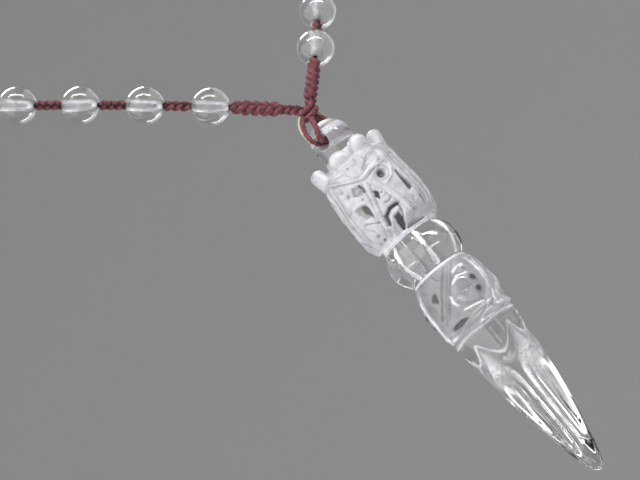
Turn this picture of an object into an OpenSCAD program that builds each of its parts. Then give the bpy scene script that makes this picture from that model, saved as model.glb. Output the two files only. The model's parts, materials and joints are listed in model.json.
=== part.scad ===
// Phurba pendant of clear rock crystal on a knotted necklace of round crystal beads.
// Millimetres, +Z up. The origin is the nape point, at the top and back of the loop, and the
// front of the necklace faces -Y. The pendant hangs straight down below the junction knot.

/* [Necklace] */
// Diameter of a round bead
bead_d = 6; // [5.6:0.1:6.4]
// Diameter of the hole drilled through a bead
bead_hole_d = 1.2; // [1.1:0.1:1.4]
// Beads on each side, not counting the one at the nape
side_beads = 29; // [27:1:30]
// Way along the cord from the junction to the middle of the first bead
first_bead = 15.1; // [14:0.1:17]
// Height of the nape above the junction
loop_drop = 170; // [165:1:175]
// Depth of the loop from the junction to the nape
loop_depth = 146.5; // [142:0.5:150]
// Angle between a strand and the vertical where it leaves the junction
strand_lean = 50; // [47:1:53]
// Angle by which a strand turns back from the side there
strand_back = 14; // [10:1:18]
// Length over which a strand keeps its first direction
front_pull = 84; // [80:1:88]
// Length over which the cord runs level at the nape
nape_pull = 164; // [160:1:168]

/* [Cord] */
// Diameter of the cord that the beads are strung on
cord_d = 0.8; // [0.6:0.1:0.9]
// Diameter of a column of knots between two beads
knot_d = 2.2; // [1.9:0.1:2.4]
// Diameter of the longer column of knots on each side of the junction
lead_knot_d = 2.5; // [2.2:0.1:2.8]
// Length of one turn in a column of knots
knot_turn = 1.05; // [0.9:0.05:1.3]
// Diameter of the junction knot
junction_d = 3.4; // [3:0.1:3.6]
// Thickness of the doubled cord of the bail loop
bail_cord_d = 1.5; // [1.2:0.1:1.6]
// Height of the junction above the middle of the pendant's hole
hang = 6; // [5.9:0.1:6.4]

/* [Pendant] */
// Diameter of the smooth dome at the top
dome_d = 6.7; // [6.4:0.1:6.8]
// Diameter of the hole through the dome
hole_d = 2.2; // [2:0.1:2.4]
// Length from the middle of the hole to the tip of the blade
hole_to_tip = 64.6; // [62:0.1:67]
// Diameter of a crown knob
knob_d = 2.6; // [2.2:0.1:2.8]
// Largest diameter of the head
head_d = 13.5; // [13:0.1:14]
// Largest diameter of the grooved collar
collar_d = 12.2; // [11.6:0.1:12.6]
// Lobes of the collar
collar_lobes = 8; // [6:1:10]
// Largest diameter of the lower bulb
bulb_d = 11.7; // [11:0.1:12]
// Diameter of the lip section above the blade
lip_d = 10.9; // [10.4:0.1:11.2]
// Diameter of the circle through the three edges of the blade at its top
blade_d = 10.4; // [10:0.1:10.8]
// How far the pendant has turned on its cord, about the vertical
pendant_turn = 30; // [0:1:60]

/* [Hidden] */
$fn = 48;

// Small gap that keeps two pieces apart
gap = 0.12;
// Overlap that makes a cut run clear of a face
over = 0.5;

// The junction knot and the pendant's hole, in the frame of the part
junction = [0, -loop_depth, -loop_drop];
hole = junction - [0, 0, hang];

// One side of the loop is a smooth curve from the junction to the nape
strand_way = [sin(strand_lean) * cos(strand_back), sin(strand_lean) * sin(strand_back), cos(strand_lean)];
curve_ends = [junction, junction + front_pull * strand_way, [nape_pull, 0, 0], [0, 0, 0]];
curve_steps = 300;
function curve(t) = pow(1 - t, 3) * curve_ends[0] + 3 * pow(1 - t, 2) * t * curve_ends[1]
    + 3 * (1 - t) * t * t * curve_ends[2] + pow(t, 3) * curve_ends[3];
curve_pts = [for (i = [0:curve_steps]) curve(i / curve_steps)];
curve_run = [for (i = 0, run = 0; i <= curve_steps;
    i = i + 1, run = run + norm(curve_pts[min(i, curve_steps)] - curve_pts[i - 1])) run];
half_loop = curve_run[curve_steps];
curve_x = [for (i = [0:curve_steps]) [curve_run[i], curve_pts[i].x]];
curve_y = [for (i = [0:curve_steps]) [curve_run[i], curve_pts[i].y]];
curve_z = [for (i = [0:curve_steps]) [curve_run[i], curve_pts[i].z]];

// The place on the loop at a run of cord from the junction, on the left (-1) or the right (1)
function on_loop(run, side) = [side * lookup(run, curve_x), lookup(run, curve_y), lookup(run, curve_z)];

// Bead middles in order, up the left side, over the nape and down the right side
pitch = (half_loop - first_bead) / side_beads;
last_bead = 2 * side_beads;
bead_mids = [for (k = [0:last_bead])
    on_loop(first_bead + pitch * (side_beads - abs(k - side_beads)), k < side_beads ? -1 : 1)];

// The cord starts and ends just outside the junction knot
lead_start = junction_d / 2 + gap;
cord_mids = concat([on_loop(lead_start, -1)], bead_mids, [on_loop(lead_start, 1)]);

function unit(v) = v / norm(v);
function way_at(pts, i) = unit(pts[min(i + 1, len(pts) - 1)] - pts[max(i - 1, 0)]);

// Turns the Z axis to point along a direction
module along(v) {
    rotate([0, acos(v.z / norm(v)), atan2(v.y, v.x)]) children();
}

module beads() {
    color("GhostWhite")
    for (k = [0:last_bead]) translate(bead_mids[k]) along(way_at(cord_mids, k + 1)) difference() {
        sphere(d = bead_d);
        cylinder(d = bead_hole_d, h = bead_d + 2 * over, center = true);
    }
}

// A column of tied turns round the cord, with its middle at the origin
module knot_column(length, d) {
    turns = round(length / knot_turn);
    turn_h = length / turns;
    bore_r = cord_d / 2 + gap;
    turn_r = turn_h * 0.58;
    rotate_extrude() intersection() {
        union() {
            translate([bore_r, -length / 2]) square([d / 2 - turn_r - bore_r, length]);
            for (i = [0:turns - 1])
                translate([d / 2 - turn_r, (i + 0.5) * turn_h - length / 2]) circle(turn_r);
        }
        translate([bore_r, -length / 2]) square([d, length]);
    }
}

module column_between(a, b, trim_a, trim_b, d) {
    way = unit(b - a);
    from = a + way * trim_a;
    to = b - way * trim_b;
    translate((from + to) / 2) along(way) knot_column(norm(to - from), d);
}

module knots() {
    trim = bead_d / 2 + gap;
    color("#5e1f2c") {
        for (k = [0:last_bead - 1]) column_between(bead_mids[k], bead_mids[k + 1], trim, trim, knot_d);
        column_between(junction, bead_mids[0], lead_start, trim, lead_knot_d);
        column_between(junction, bead_mids[last_bead], lead_start, trim, lead_knot_d);
    }
}

// The cord as a tube with a ring at the middle of each bead
cord_sides = 8;
function ring(mid, way) = let (
        side = unit(cross(way, [0, 0, 1])),
        rise = cross(side, way)
    ) [for (j = [0:cord_sides - 1]) let (a = 360 * j / cord_sides)
        mid + cord_d / 2 * (cos(a) * side + sin(a) * rise)];

module thread() {
    rings = len(cord_mids);
    pts = [for (i = [0:rings - 1]) each ring(cord_mids[i], way_at(cord_mids, i))];
    walls = [for (i = [0:rings - 2], j = [0:cord_sides - 1]) let (
            next = (j + 1) % cord_sides, low = i * cord_sides, high = low + cord_sides
        ) [low + j, high + j, high + next, low + next]];
    caps = [[for (j = [0:cord_sides - 1]) j],
        [for (j = [cord_sides - 1:-1:0]) (rings - 1) * cord_sides + j]];
    color("#6e2836") polyhedron(pts, concat(walls, caps));
}

// The bail loop stands round the dome, and its cord runs through the hole, high in it
bail_r = dome_d / 2 + bail_cord_d / 2 + 0.3;
bail_rise = (hole_d - bail_cord_d) / 2 - gap;

module bail_loop() {
    color("#5e1f2c") translate(hole) rotate([0, 0, pendant_turn]) {
        rotate([90, 0, 0]) rotate_extrude(angle = 180) translate([bail_r, 0]) circle(d = bail_cord_d);
        translate([0, 0, bail_rise]) rotate([0, 90, 0])
            cylinder(d = bail_cord_d, h = 2 * bail_r, center = true);
        for (side = [-1, 1]) translate([side * bail_r, 0, bail_rise / 2]) sphere(d = bail_cord_d + 0.1);
        translate([0, 0, hang]) sphere(d = junction_d);
    }
}

// Stations of the pendant, as depths below the middle of its hole
neck_d = 6;
knob_ring_r = 4.9;
knob_depth = 3.9;
knob_lean = 0.4;
knob_turn = 38;
head_top = 4.9;
head_swell = 14;
head_taper = 16.8;
head_waist = 19.75;
waist_r = 4.85;
collar_waist = 26.6;
collar_waist_r = 4.6;
bulb_swell = 31.6;
bulb_end = 36;
lip_end = 41.6;
blade_start = 40;
fuller_top = 42;
fuller_end = 61.2;
face_turns = [-60, 60, 180];
ridge_turns = [0, 120, 240];

// Turns a shape that stands on the front (-Y) round to an azimuth
module at_turns(turns) {
    for (a = turns) rotate([0, 0, a]) children();
}

// Radius of the arc over a chord of half length a with a rise b
function arc_r(a, b) = (a * a + b * b) / (2 * b);

// A round swelling: an arc through its widest ring and a narrower one further along
module swell(r_wide, mid, r_end, end, top, bottom) {
    r = arc_r(abs(end - mid), r_wide - r_end);
    rotate_extrude() intersection() {
        translate([r_wide - r, -mid]) circle(r, $fn = 180);
        translate([0, -bottom]) square([r_wide + over, bottom - top]);
    }
}

module crown() {
    sphere(d = dome_d);
    translate([0, 0, -head_top - over]) cylinder(d = neck_d, h = head_top + over);
    at_turns([knob_turn:60:knob_turn + 300]) translate([0, -knob_ring_r, -knob_depth]) {
        sphere(d = knob_d);
        translate([0, knob_lean, -head_top - over + knob_depth])
            cylinder(d1 = knob_d + knob_lean, d2 = knob_d - knob_lean, h = head_top + over - knob_depth);
    }
}

// Three-faced head: a barrel with a flatter front on each face
module head_blank() {
    face_r = 10.5;
    face_depth = 6.2;
    difference() {
        union() {
            swell(head_d / 2, head_swell, 5.7, head_top, head_top, head_taper);
            translate([0, 0, -head_waist]) cylinder(r1 = waist_r, r2 = 6.65, h = head_waist - head_taper + 0.2);
        }
        at_turns(face_turns) difference() {
            translate([-8, -9, -head_taper - 1]) cube([16, 9, head_taper - head_top + 2]);
            translate([0, face_r - face_depth, -head_waist]) cylinder(r = face_r, h = head_waist);
        }
    }
}

// The carving of one face, on the front: eyes, brow, folds of the nose and mouth, cheeks
module face_cuts() {
    skin = 6.2;
    for (side = [-1, 1]) {
        translate([side * 2.15, -skin - 0.35, -9.1]) difference() {
            sphere(d = 2);
            sphere(d = 1.1);
        }
        translate([side * 0.35, -skin - 0.1, -8.2]) rotate([0, side * -15.5, 0])
            translate([0, 0, -9.8]) cylinder(d = 0.7, h = 9.6);
        translate([side * 3, -skin + 0.1, -12.2]) sphere(d = 1.7);
        translate([side * 0.15, -skin - 0.1, -7.8]) rotate([0, side * 66, 0]) cylinder(d = 0.7, h = 4.6);
    }
    translate([0, -skin - 0.2, -14.9]) rotate([90, 0, 0]) difference() {
        cylinder(d = 3.2, h = 1, center = true);
        cylinder(d = 2, h = 2, center = true);
    }
}

module head() {
    hair_depth = 6.85;
    difference() {
        head_blank();
        at_turns(face_turns) face_cuts();
        for (a = [-13, 0, 13]) at_turns(ridge_turns) rotate([0, 0, a])
            translate([0, -hair_depth, -head_taper - 0.4]) cylinder(d = 0.7, h = head_taper - 6.4);
    }
}

module collar() {
    mid = (head_waist + collar_waist) / 2;
    r = arc_r(collar_waist - mid, collar_d / 2 - collar_waist_r);
    groove_depth = 0.35;
    translate([0, 0, -collar_waist - over]) cylinder(r = collar_waist_r, h = 2 * over);
    difference() {
        swell(collar_d / 2, mid, collar_waist_r, collar_waist, head_waist - 0.3, collar_waist + 0.2);
        for (k = [0:collar_lobes - 1]) rotate([0, 0, 360 * (k - 0.2) / collar_lobes])
            translate([0, -(collar_d / 2 - r), -mid]) rotate([0, 90, 0]) difference() {
                cylinder(r = r + over, h = 0.8, center = true);
                cylinder(r = r - groove_depth, h = 1, center = true);
            }
    }
}

// Lower bulb: three bosses between bands that cross
module bulb() {
    band_lean = 38;
    difference() {
        union() {
            swell(bulb_d / 2, bulb_swell, collar_waist_r, collar_waist, collar_waist - 0.2, bulb_end);
            at_turns(face_turns) rotate([0, 0, 14]) translate([0, -3.85, -31.4]) sphere(d = 4.4);
        }
        at_turns(face_turns) for (side = [-1, 1]) rotate([0, 0, 14 + side * 27])
            translate([0, -bulb_d / 2, -31.2]) rotate([0, side * band_lean - 8, 0])
                cylinder(d = 1, h = 9, center = true);
    }
}

// Lip section, which narrows to the blade's root
module lip() {
    root_r = 4.9;
    translate([0, 0, -bulb_end - 2.4]) cylinder(d = lip_d, h = 2.4 + 0.2);
    translate([0, 0, -lip_end]) cylinder(r1 = root_r, r2 = lip_d / 2, h = lip_end - bulb_end - 2.4);
}

// Three-sided blade with a long tongue-shaped hollow in each face
module blade() {
    length = hole_to_tip - blade_start;
    tip_r = 0.8;
    edge_r = arc_r(length, blade_d / 2 - tip_r);
    face_top = 3.9;
    face_lean = 6.4;
    fuller_r = 3.9;
    fuller_depth = 0.95;
    fuller_lean = face_lean - atan(fuller_depth / (fuller_end - fuller_top));
    fuller_start = face_top - (fuller_top - blade_start) * tan(face_lean) - fuller_depth;
    difference() {
        union() {
            rotate_extrude() intersection() {
                translate([blade_d / 2 - edge_r, -blade_start]) circle(edge_r, $fn = 360);
                translate([0, tip_r - hole_to_tip]) square([blade_d, length - tip_r]);
            }
            translate([0, 0, tip_r - hole_to_tip]) sphere(tip_r + 0.15);
        }
        at_turns(face_turns) translate([0, -face_top, -blade_start]) rotate([face_lean, 0, 0])
            translate([-blade_d, -blade_d, -length - 4]) cube([2 * blade_d, blade_d, length + 8]);
        at_turns(face_turns) translate([0, -fuller_start - fuller_r, -fuller_top])
            rotate([fuller_lean, 0, 0]) translate([0, 0, -length]) cylinder(r = fuller_r, h = length);
    }
}

module phurba() {
    color("GhostWhite", 0.9) translate(hole) rotate([0, 0, pendant_turn]) difference() {
        union() {
            crown();
            head();
            collar();
            bulb();
            lip();
            blade();
        }
        rotate([0, 90, 0]) cylinder(d = hole_d, h = dome_d + 2 * over, center = true);
    }
}

beads();
knots();
thread();
bail_loop();
phurba();
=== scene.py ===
import json
from math import atan2, cos, pi, radians, sin, tan

import bpy
import numpy as np
from bpy.props import FloatProperty, FloatVectorProperty, IntProperty, PointerProperty
from mathutils import Matrix, Vector
from mathutils.kdtree import KDTree


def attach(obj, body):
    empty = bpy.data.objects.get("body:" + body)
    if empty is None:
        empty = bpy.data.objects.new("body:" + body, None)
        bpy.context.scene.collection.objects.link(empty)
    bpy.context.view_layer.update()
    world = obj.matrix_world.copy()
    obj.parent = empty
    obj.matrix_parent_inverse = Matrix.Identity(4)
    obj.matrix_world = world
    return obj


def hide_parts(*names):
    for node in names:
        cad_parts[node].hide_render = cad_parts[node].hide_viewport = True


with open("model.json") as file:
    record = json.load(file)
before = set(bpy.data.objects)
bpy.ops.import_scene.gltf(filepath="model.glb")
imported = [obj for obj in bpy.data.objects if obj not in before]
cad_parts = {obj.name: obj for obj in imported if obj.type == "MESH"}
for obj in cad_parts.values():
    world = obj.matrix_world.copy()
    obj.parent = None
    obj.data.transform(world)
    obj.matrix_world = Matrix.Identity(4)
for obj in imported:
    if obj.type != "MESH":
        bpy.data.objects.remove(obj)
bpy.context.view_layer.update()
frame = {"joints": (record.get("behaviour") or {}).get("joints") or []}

bl_info = {
    "name": "Phurba pendant on a knotted bead necklace",
    "version": (1, 0, 0),
    "blender": (4, 5, 0),
    "location": "3D View > Sidebar > Phurba",
    "description": "Dresses a rock crystal phurba pendant and its string of crystal beads",
    "category": "Object",
}

# What the frame says
MM = 0.001
SWING = frame["joints"][0]
HOLE = Vector(SWING["pos_m"])
PENDANT_TURN = atan2(SWING["axis"][1], SWING["axis"][0])


# Settings that a user would change
class StringSizes(bpy.types.PropertyGroup):
    """The round beads and the line that they hang in."""

    bead_d: FloatProperty(
        name="Bead", description="Diameter of a round bead",
        default=6 * MM, unit="LENGTH",
    )
    bore_d: FloatProperty(
        name="Bead hole", description="Diameter of the hole drilled through a bead",
        default=1.2 * MM, unit="LENGTH",
    )
    side_beads: IntProperty(
        name="Beads a side", description="Beads on each side, not counting the one at the nape",
        default=29,
    )
    first_bead: FloatProperty(
        name="First bead", description="Way along the cord from the junction to the first bead",
        default=15.1 * MM, unit="LENGTH",
    )
    hang: FloatProperty(
        name="Hang", description="Height of the junction above the pendant's hole",
        default=6 * MM, unit="LENGTH",
    )
    lean: FloatProperty(
        name="Lean", description="Angle between a strand and the vertical at the junction",
        default=radians(50), subtype="ANGLE",
    )
    back: FloatProperty(
        name="Turn back", description="Angle by which a strand turns back from the side there",
        default=radians(14), subtype="ANGLE",
    )
    front_pull: FloatProperty(
        name="Front pull", description="Length over which a strand keeps its first direction",
        default=84 * MM, unit="LENGTH",
    )
    nape_pull: FloatProperty(
        name="Nape pull", description="Length over which the cord runs level at the nape",
        default=164 * MM, unit="LENGTH",
    )
    wobble: FloatProperty(
        name="Wobble", description="Most that a bead tilts on its cord",
        default=radians(4.5), subtype="ANGLE",
    )


class CordSizes(bpy.types.PropertyGroup):
    """The dyed cord, its knots and the bail loop."""

    core_d: FloatProperty(
        name="Core", description="Diameter of the cord inside the beads",
        default=0.8 * MM, unit="LENGTH",
    )
    strand_d: FloatProperty(
        name="Strand", description="Diameter of one strand in a knot",
        default=1.04 * MM, unit="LENGTH",
    )
    knot_w: FloatProperty(
        name="Knot width", description="Widest column of knots between two beads",
        default=2.15 * MM, unit="LENGTH",
    )
    lead_w: FloatProperty(
        name="Lead width", description="Width of the longer column next to the first bead",
        default=2.45 * MM, unit="LENGTH",
    )
    thin_w: FloatProperty(
        name="Thin width", description="Width of the thinner column next to the junction",
        default=1.7 * MM, unit="LENGTH",
    )
    thin_left: FloatProperty(
        name="Thin left", description="Length of the thinner column on the left",
        default=3.9 * MM, unit="LENGTH",
    )
    thin_right: FloatProperty(
        name="Thin right", description="Length of the thinner column on the right",
        default=2.2 * MM, unit="LENGTH",
    )
    turn: FloatProperty(
        name="Turn", description="Length in which a strand comes back to its side",
        default=4.2 * MM, unit="LENGTH",
    )
    bail_d: FloatProperty(
        name="Bail strand", description="Diameter of one strand of the bail loop",
        default=0.86 * MM, unit="LENGTH",
    )
    pale_d: FloatProperty(
        name="Pale strand width", description="Diameter of the thin undyed strand",
        default=0.42 * MM, unit="LENGTH",
    )
    colour: FloatVectorProperty(
        name="Cord colour", description="Colour of the dyed cord",
        default=(0.05, 0.011, 0.014), size=3, subtype="COLOR", min=0, max=1,
    )
    worn: FloatVectorProperty(
        name="Worn colour", description="Colour of the cord where the fibres are rubbed",
        default=(0.3, 0.092, 0.106), size=3, subtype="COLOR", min=0, max=1,
    )
    pale: FloatVectorProperty(
        name="Pale colour", description="Colour of the thin undyed strand in the bail loop",
        default=(0.36, 0.3, 0.21), size=3, subtype="COLOR", min=0, max=1,
    )


class CrystalFinish(bpy.types.PropertyGroup):
    """The polish and the ground cuts of the rock crystal."""

    ior: FloatProperty(
        name="Index", description="Refractive index of rock crystal",
        default=1.544, min=1,
    )
    polish: FloatProperty(
        name="Polish", description="Roughness of the polished faces",
        default=0.025, min=0, max=1,
    )
    ground: FloatProperty(
        name="Ground", description="Roughness of the ground cuts",
        default=0.42, min=0, max=1,
    )
    clear: FloatVectorProperty(
        name="Clear colour", description="Tint of the clear crystal",
        default=(0.985, 0.985, 0.98), size=3, subtype="COLOR", min=0, max=1,
    )
    white: FloatVectorProperty(
        name="Ground colour", description="Colour of the ground cuts",
        default=(0.95, 0.945, 0.955), size=3, subtype="COLOR", min=0, max=1,
    )
    ridge: FloatVectorProperty(
        name="Ridge colour", description="Lilac tint of the bands that stand proud",
        default=(0.5, 0.475, 0.55), size=3, subtype="COLOR", min=0, max=1,
    )
    # Painted shade: the colour painted into the deepest hollows of the carving.
    deep: FloatVectorProperty(
        name="Deep colour", description="Colour of the deepest hollows",
        default=(0.045, 0.048, 0.045), size=3, subtype="COLOR", min=0, max=1,
    )
    shade: FloatVectorProperty(
        name="Cloud colour", description="Colour of the greyer patches of the ground cuts",
        default=(0.56, 0.545, 0.59), size=3, subtype="COLOR", min=0, max=1,
    )


class ViewSettings(bpy.types.PropertyGroup):
    """Where the camera stands, measured from the pendant's hole."""

    azimuth: FloatProperty(
        name="Azimuth", description="Turn of the camera round the necklace",
        default=radians(-29.6), subtype="ANGLE",
    )
    elevation: FloatProperty(
        name="Elevation", description="Height of the camera as an angle",
        default=radians(-12.48), subtype="ANGLE",
    )
    roll: FloatProperty(
        name="Roll", description="Turn of the camera about its own axis",
        default=radians(38.82), subtype="ANGLE",
    )
    distance: FloatProperty(
        name="Distance", description="From the camera to the point that it looks at",
        default=302.2 * MM, unit="LENGTH",
    )
    lens: FloatProperty(
        name="Lens", description="Focal length on a frame 36 mm wide",
        default=111.05, unit="CAMERA",
    )
    aim_down: FloatProperty(
        name="Aim down", description="How far below the hole the camera looks",
        default=11.14 * MM, unit="LENGTH",
    )
    aim_side: FloatProperty(
        name="Aim aside", description="How far to the camera's left of the hole it looks",
        default=11.07 * MM, unit="LENGTH",
    )
    floor_drop: FloatProperty(
        name="Floor", description="Height of the floor below the nape",
        default=1.0, unit="LENGTH",
    )
    floor_colour: FloatVectorProperty(
        name="Floor colour", description="Colour of the floor and its sweep",
        default=(0.74, 0.735, 0.73), size=3, subtype="COLOR", min=0, max=1,
    )


GROUPS = {
    "phurba_string": StringSizes,
    "phurba_cord": CordSizes,
    "phurba_crystal": CrystalFinish,
    "phurba_view": ViewSettings,
}


def settings(name):
    return getattr(bpy.context.scene, name)


# Small helpers for vectors and meshes
def unit(v):
    v = np.asarray(v, float)
    return v / np.linalg.norm(v, axis=-1, keepdims=True)


def ramp(x, low, high):
    """0 below low, 1 above high, and smooth between."""
    t = np.clip((x - low) / (high - low), 0, 1)
    return t * t * (3 - 2 * t)


def smooth_min(a, b, reach):
    h = np.clip(0.5 + 0.5 * (b - a) / reach, 0, 1)
    return b * (1 - h) + a * h - reach * h * (1 - h)


def through(table, x):
    """A smooth curve through the rows (place, value) of a table."""
    places, values = np.array(table, float).T
    slopes = np.gradient(values, places)
    i = np.clip(np.searchsorted(places, x) - 1, 0, len(places) - 2)
    span = places[i + 1] - places[i]
    t = np.clip((x - places[i]) / span, 0, 1)
    near, far = 2 * t**3 - 3 * t**2 + 1, 3 * t**2 - 2 * t**3
    return (
        near * values[i] + far * values[i + 1]
        + span * (t**3 - 2 * t**2 + t) * slopes[i] + span * (t**3 - t**2) * slopes[i + 1]
    )


def wrapped(angle, period):
    """An angle brought to within half a period of zero."""
    return (angle + period / 2) % period - period / 2


def piece_from(name, points, faces, materials, body, slot, replaced=()):
    """A smooth mesh object in the shared frame, from points in metres, which rides on a body."""
    mesh = bpy.data.meshes.new(name)
    mesh.from_pydata(np.asarray(points, float).tolist(), [], [list(map(int, f)) for f in faces])
    mesh.validate()
    mesh.polygons.foreach_set("use_smooth", [True] * len(mesh.polygons))
    for material in materials:
        mesh.materials.append(material)
    piece = bpy.data.objects.new(name, mesh)
    bpy.context.scene.collection.objects.link(piece)
    dress(piece, body, replaced)
    return piece


def dress(piece, body, replaced=()):
    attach(piece, body)
    if replaced:
        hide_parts(*replaced)


def quads(rows, columns):
    """The faces of a grid whose columns close on themselves."""
    r, c = np.meshgrid(np.arange(rows - 1), np.arange(columns), indexing="ij")
    a, b = r * columns + c, r * columns + (c + 1) % columns
    return np.stack([a, b, b + columns, a + columns], -1).reshape(-1, 4).tolist()


def capped(rings, head, tail):
    """Points and faces of a closed surface, from rows of rings and a point at each end."""
    rows, columns = rings.shape[:2]
    points = np.concatenate([rings.reshape(-1, 3), [head], [tail]])
    peak, last = rows * columns, (rows - 1) * columns
    faces = quads(rows, columns)
    faces += [[(j + 1) % columns, j, peak] for j in range(columns)]
    faces += [[last + j, last + (j + 1) % columns, peak + 1] for j in range(columns)]
    return points, faces


def turned_over(points, faces):
    """The same surface with its faces turned over."""
    return points, [face[::-1] for face in faces]


def full_turn(columns):
    """The angles of a ring's columns."""
    return 2 * pi * np.arange(columns) / columns


def about_z(angle):
    """The 3 by 3 turn about the Z axis."""
    c, s = cos(angle), sin(angle)
    return np.array([[c, -s, 0], [s, c, 0], [0, 0, 1]])


def runs_along(path):
    """The length of a path up to each of its points."""
    return np.concatenate([[0], np.cumsum(np.linalg.norm(np.diff(path, axis=0), axis=1))])


def sides_along(path, start_side):
    """Two unit side vectors along a path, carried from point to point without twist."""
    way = unit(np.gradient(path, axis=0))
    sides = [unit(start_side - way[0] * np.dot(start_side, way[0]))]
    for w in way[1:]:
        sides.append(unit(sides[-1] - w * np.dot(sides[-1], w)))
    sides = np.array(sides)
    return sides, np.cross(way, sides)


def swept(path, radius, sides, start_side=(0.1, 0.2, 1.0), plies=0, ply_depth=0.0, lay=1.0):
    """A closed tube along a path. With plies, its section is lobed and turns once in each lay."""
    path = np.asarray(path, float)
    radius = np.broadcast_to(np.asarray(radius, float), len(path))
    across, rise = sides_along(path, np.asarray(start_side, float))
    turn = full_turn(sides)
    twist = 2 * pi * runs_along(path)[:, None] / lay
    lobes = ply_depth * np.cos(plies * (turn[None] - twist)) if plies else 0.0
    reach = radius[:, None] * (1 + lobes)
    rings = (
        path[:, None]
        + (reach * np.cos(turn))[..., None] * across[:, None]
        + (reach * np.sin(turn))[..., None] * rise[:, None]
    )
    return capped(rings, path[0], path[-1])


def paint(mesh, name, values):
    """Gives a mesh a value at each of its points, for its materials."""
    layer = mesh.attributes.new(name, "FLOAT", "POINT")
    layer.data.foreach_set("value", values.astype(np.float32))


def joined(parts):
    """One mesh from several lots of points and faces."""
    points, faces, first = [], [], 0
    for p, f in parts:
        points.append(np.asarray(p, float))
        faces += [[first + i for i in face] for face in f]
        first += len(p)
    return np.concatenate(points), faces


# The line that the beads hang in, in millimetres, with the nape at the origin
CURVE_STEPS = 600


def half_loop():
    """Points and cord runs of the right side, from the junction to the nape."""
    s = settings("phurba_string")
    junction = np.array(HOLE) / MM + [0, 0, s.hang / MM]
    way = np.array([sin(s.lean) * cos(s.back), sin(s.lean) * sin(s.back), cos(s.lean)])
    nape = np.array([s.nape_pull / MM, 0, 0])
    t = np.linspace(0, 1, CURVE_STEPS + 1)[:, None]
    points = (
        (1 - t) ** 3 * junction + 3 * (1 - t) ** 2 * t * (junction + way * s.front_pull / MM)
        + 3 * (1 - t) * t * t * nape
    )
    return points, runs_along(points)


def on_loop(run, side):
    """Places on the loop at runs of cord from the junction, on the left (-1) or the right (1)."""
    points, runs = half_loop()
    return np.stack([np.interp(run, runs, points[:, i]) for i in range(3)], -1) * [side, 1, 1]


def bead_runs():
    """Runs of cord from the junction to the beads of one side, the one at the nape last."""
    s = settings("phurba_string")
    _, runs = half_loop()
    first = s.first_bead / MM
    return np.linspace(first, runs[-1], s.side_beads + 1)


def bead_middles():
    """Bead middles in order, up the left side, over the nape and down the right side."""
    runs = bead_runs()
    return np.concatenate([on_loop(runs, -1), on_loop(runs[:-1], 1)[::-1]])


def turned_to(way):
    """A 3 by 3 turn that takes the Z axis to a direction."""
    return np.array(Vector(way).to_track_quat("Z", "Y").to_matrix())


# Node groups and materials
def shader_group(name, given, made, fill):
    """A shader group, built once. given holds its inputs by name with their defaults, made the
    names of its outputs, and fill makes its nodes and returns what feeds the outputs."""
    group = bpy.data.node_groups.get(name)
    if group:
        return group
    group = bpy.data.node_groups.new(name, "ShaderNodeTree")
    for label, default in given.items():
        kind = "NodeSocketColor" if isinstance(default, tuple) else "NodeSocketFloat"
        socket = group.interface.new_socket(name=label, in_out="INPUT", socket_type=kind)
        socket.default_value = default
    for label in made:
        kind = "NodeSocketColor" if label == "Colour" else "NodeSocketFloat"
        group.interface.new_socket(name=label, in_out="OUTPUT", socket_type=kind)
    inputs = group.nodes.new("NodeGroupInput").outputs
    values = fill(group, inputs, place_on(group))
    feed(group, group.nodes.new("NodeGroupOutput"), dict(zip(made, values)))
    return group


def feed(tree, node, values):
    """Gives a node's inputs, by name or number, their values or links."""
    for key, value in values.items():
        if isinstance(value, bpy.types.NodeSocket):
            tree.links.new(value, node.inputs[key])
        else:
            node.inputs[key].default_value = value


def add(tree, kind, values, **options):
    """A new node with its options and the values or links of its inputs."""
    node = tree.nodes.new(kind)
    for key, option in options.items():
        setattr(node, key, option)
    feed(tree, node, values)
    return node


def maths(tree, what, *values):
    return add(tree, "ShaderNodeMath", dict(enumerate(values)), operation=what).outputs[0]


def stretched(tree, value, low, high, to_low=0.0, to_high=1.0):
    """A value's range from low to high, brought to another range and cut off beyond it."""
    node = add(tree, "ShaderNodeMapRange", {"Value": value, "From Min": low, "From Max": high})
    feed(tree, node, {"To Min": to_low, "To Max": to_high})
    return node.outputs[0]


def painted(tree, name):
    """A value that the mesh carries at its points."""
    return add(tree, "ShaderNodeAttribute", {}, attribute_name=name).outputs["Fac"]


def place_on(tree):
    return add(tree, "ShaderNodeTexCoord", {}).outputs["Object"]


def colour_mix(tree, factor, low, high):
    return add(tree, "ShaderNodeMix", {0: factor, 6: low, 7: high}, data_type="RGBA").outputs[2]


def noise(tree, vector, scale, detail, roughness):
    values = {"Vector": vector, "Scale": scale, "Detail": detail, "Roughness": roughness}
    return add(tree, "ShaderNodeTexNoise", values).outputs["Fac"]


def ground_group():
    """Ground crystal: a sugary grain with greyer clouds."""

    def fill(group, given, place):
        clouds = noise(group, place, given["Clouds"], detail=4.0, roughness=0.6)
        grain = noise(group, place, given["Grain"], detail=2.0, roughness=0.7)
        patch = maths(group, "MULTIPLY", stretched(group, clouds, 0.42, 0.68), 0.75)
        both = maths(group, "MULTIPLY_ADD", grain, 0.35, patch)
        most, least = given["Most roughness"], given["Least roughness"]
        rough = stretched(group, clouds, 0.3, 0.7, most, least)
        return colour_mix(group, both, given["White"], given["Shade"]), rough, grain

    given = {
        "White": (1, 1, 1, 1), "Shade": (0.6, 0.6, 0.6, 1), "Clouds": 700.0, "Grain": 9000.0,
        "Least roughness": 0.3, "Most roughness": 0.6,
    }
    return shader_group("Ground crystal", given, ("Colour", "Roughness", "Height"), fill)


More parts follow.
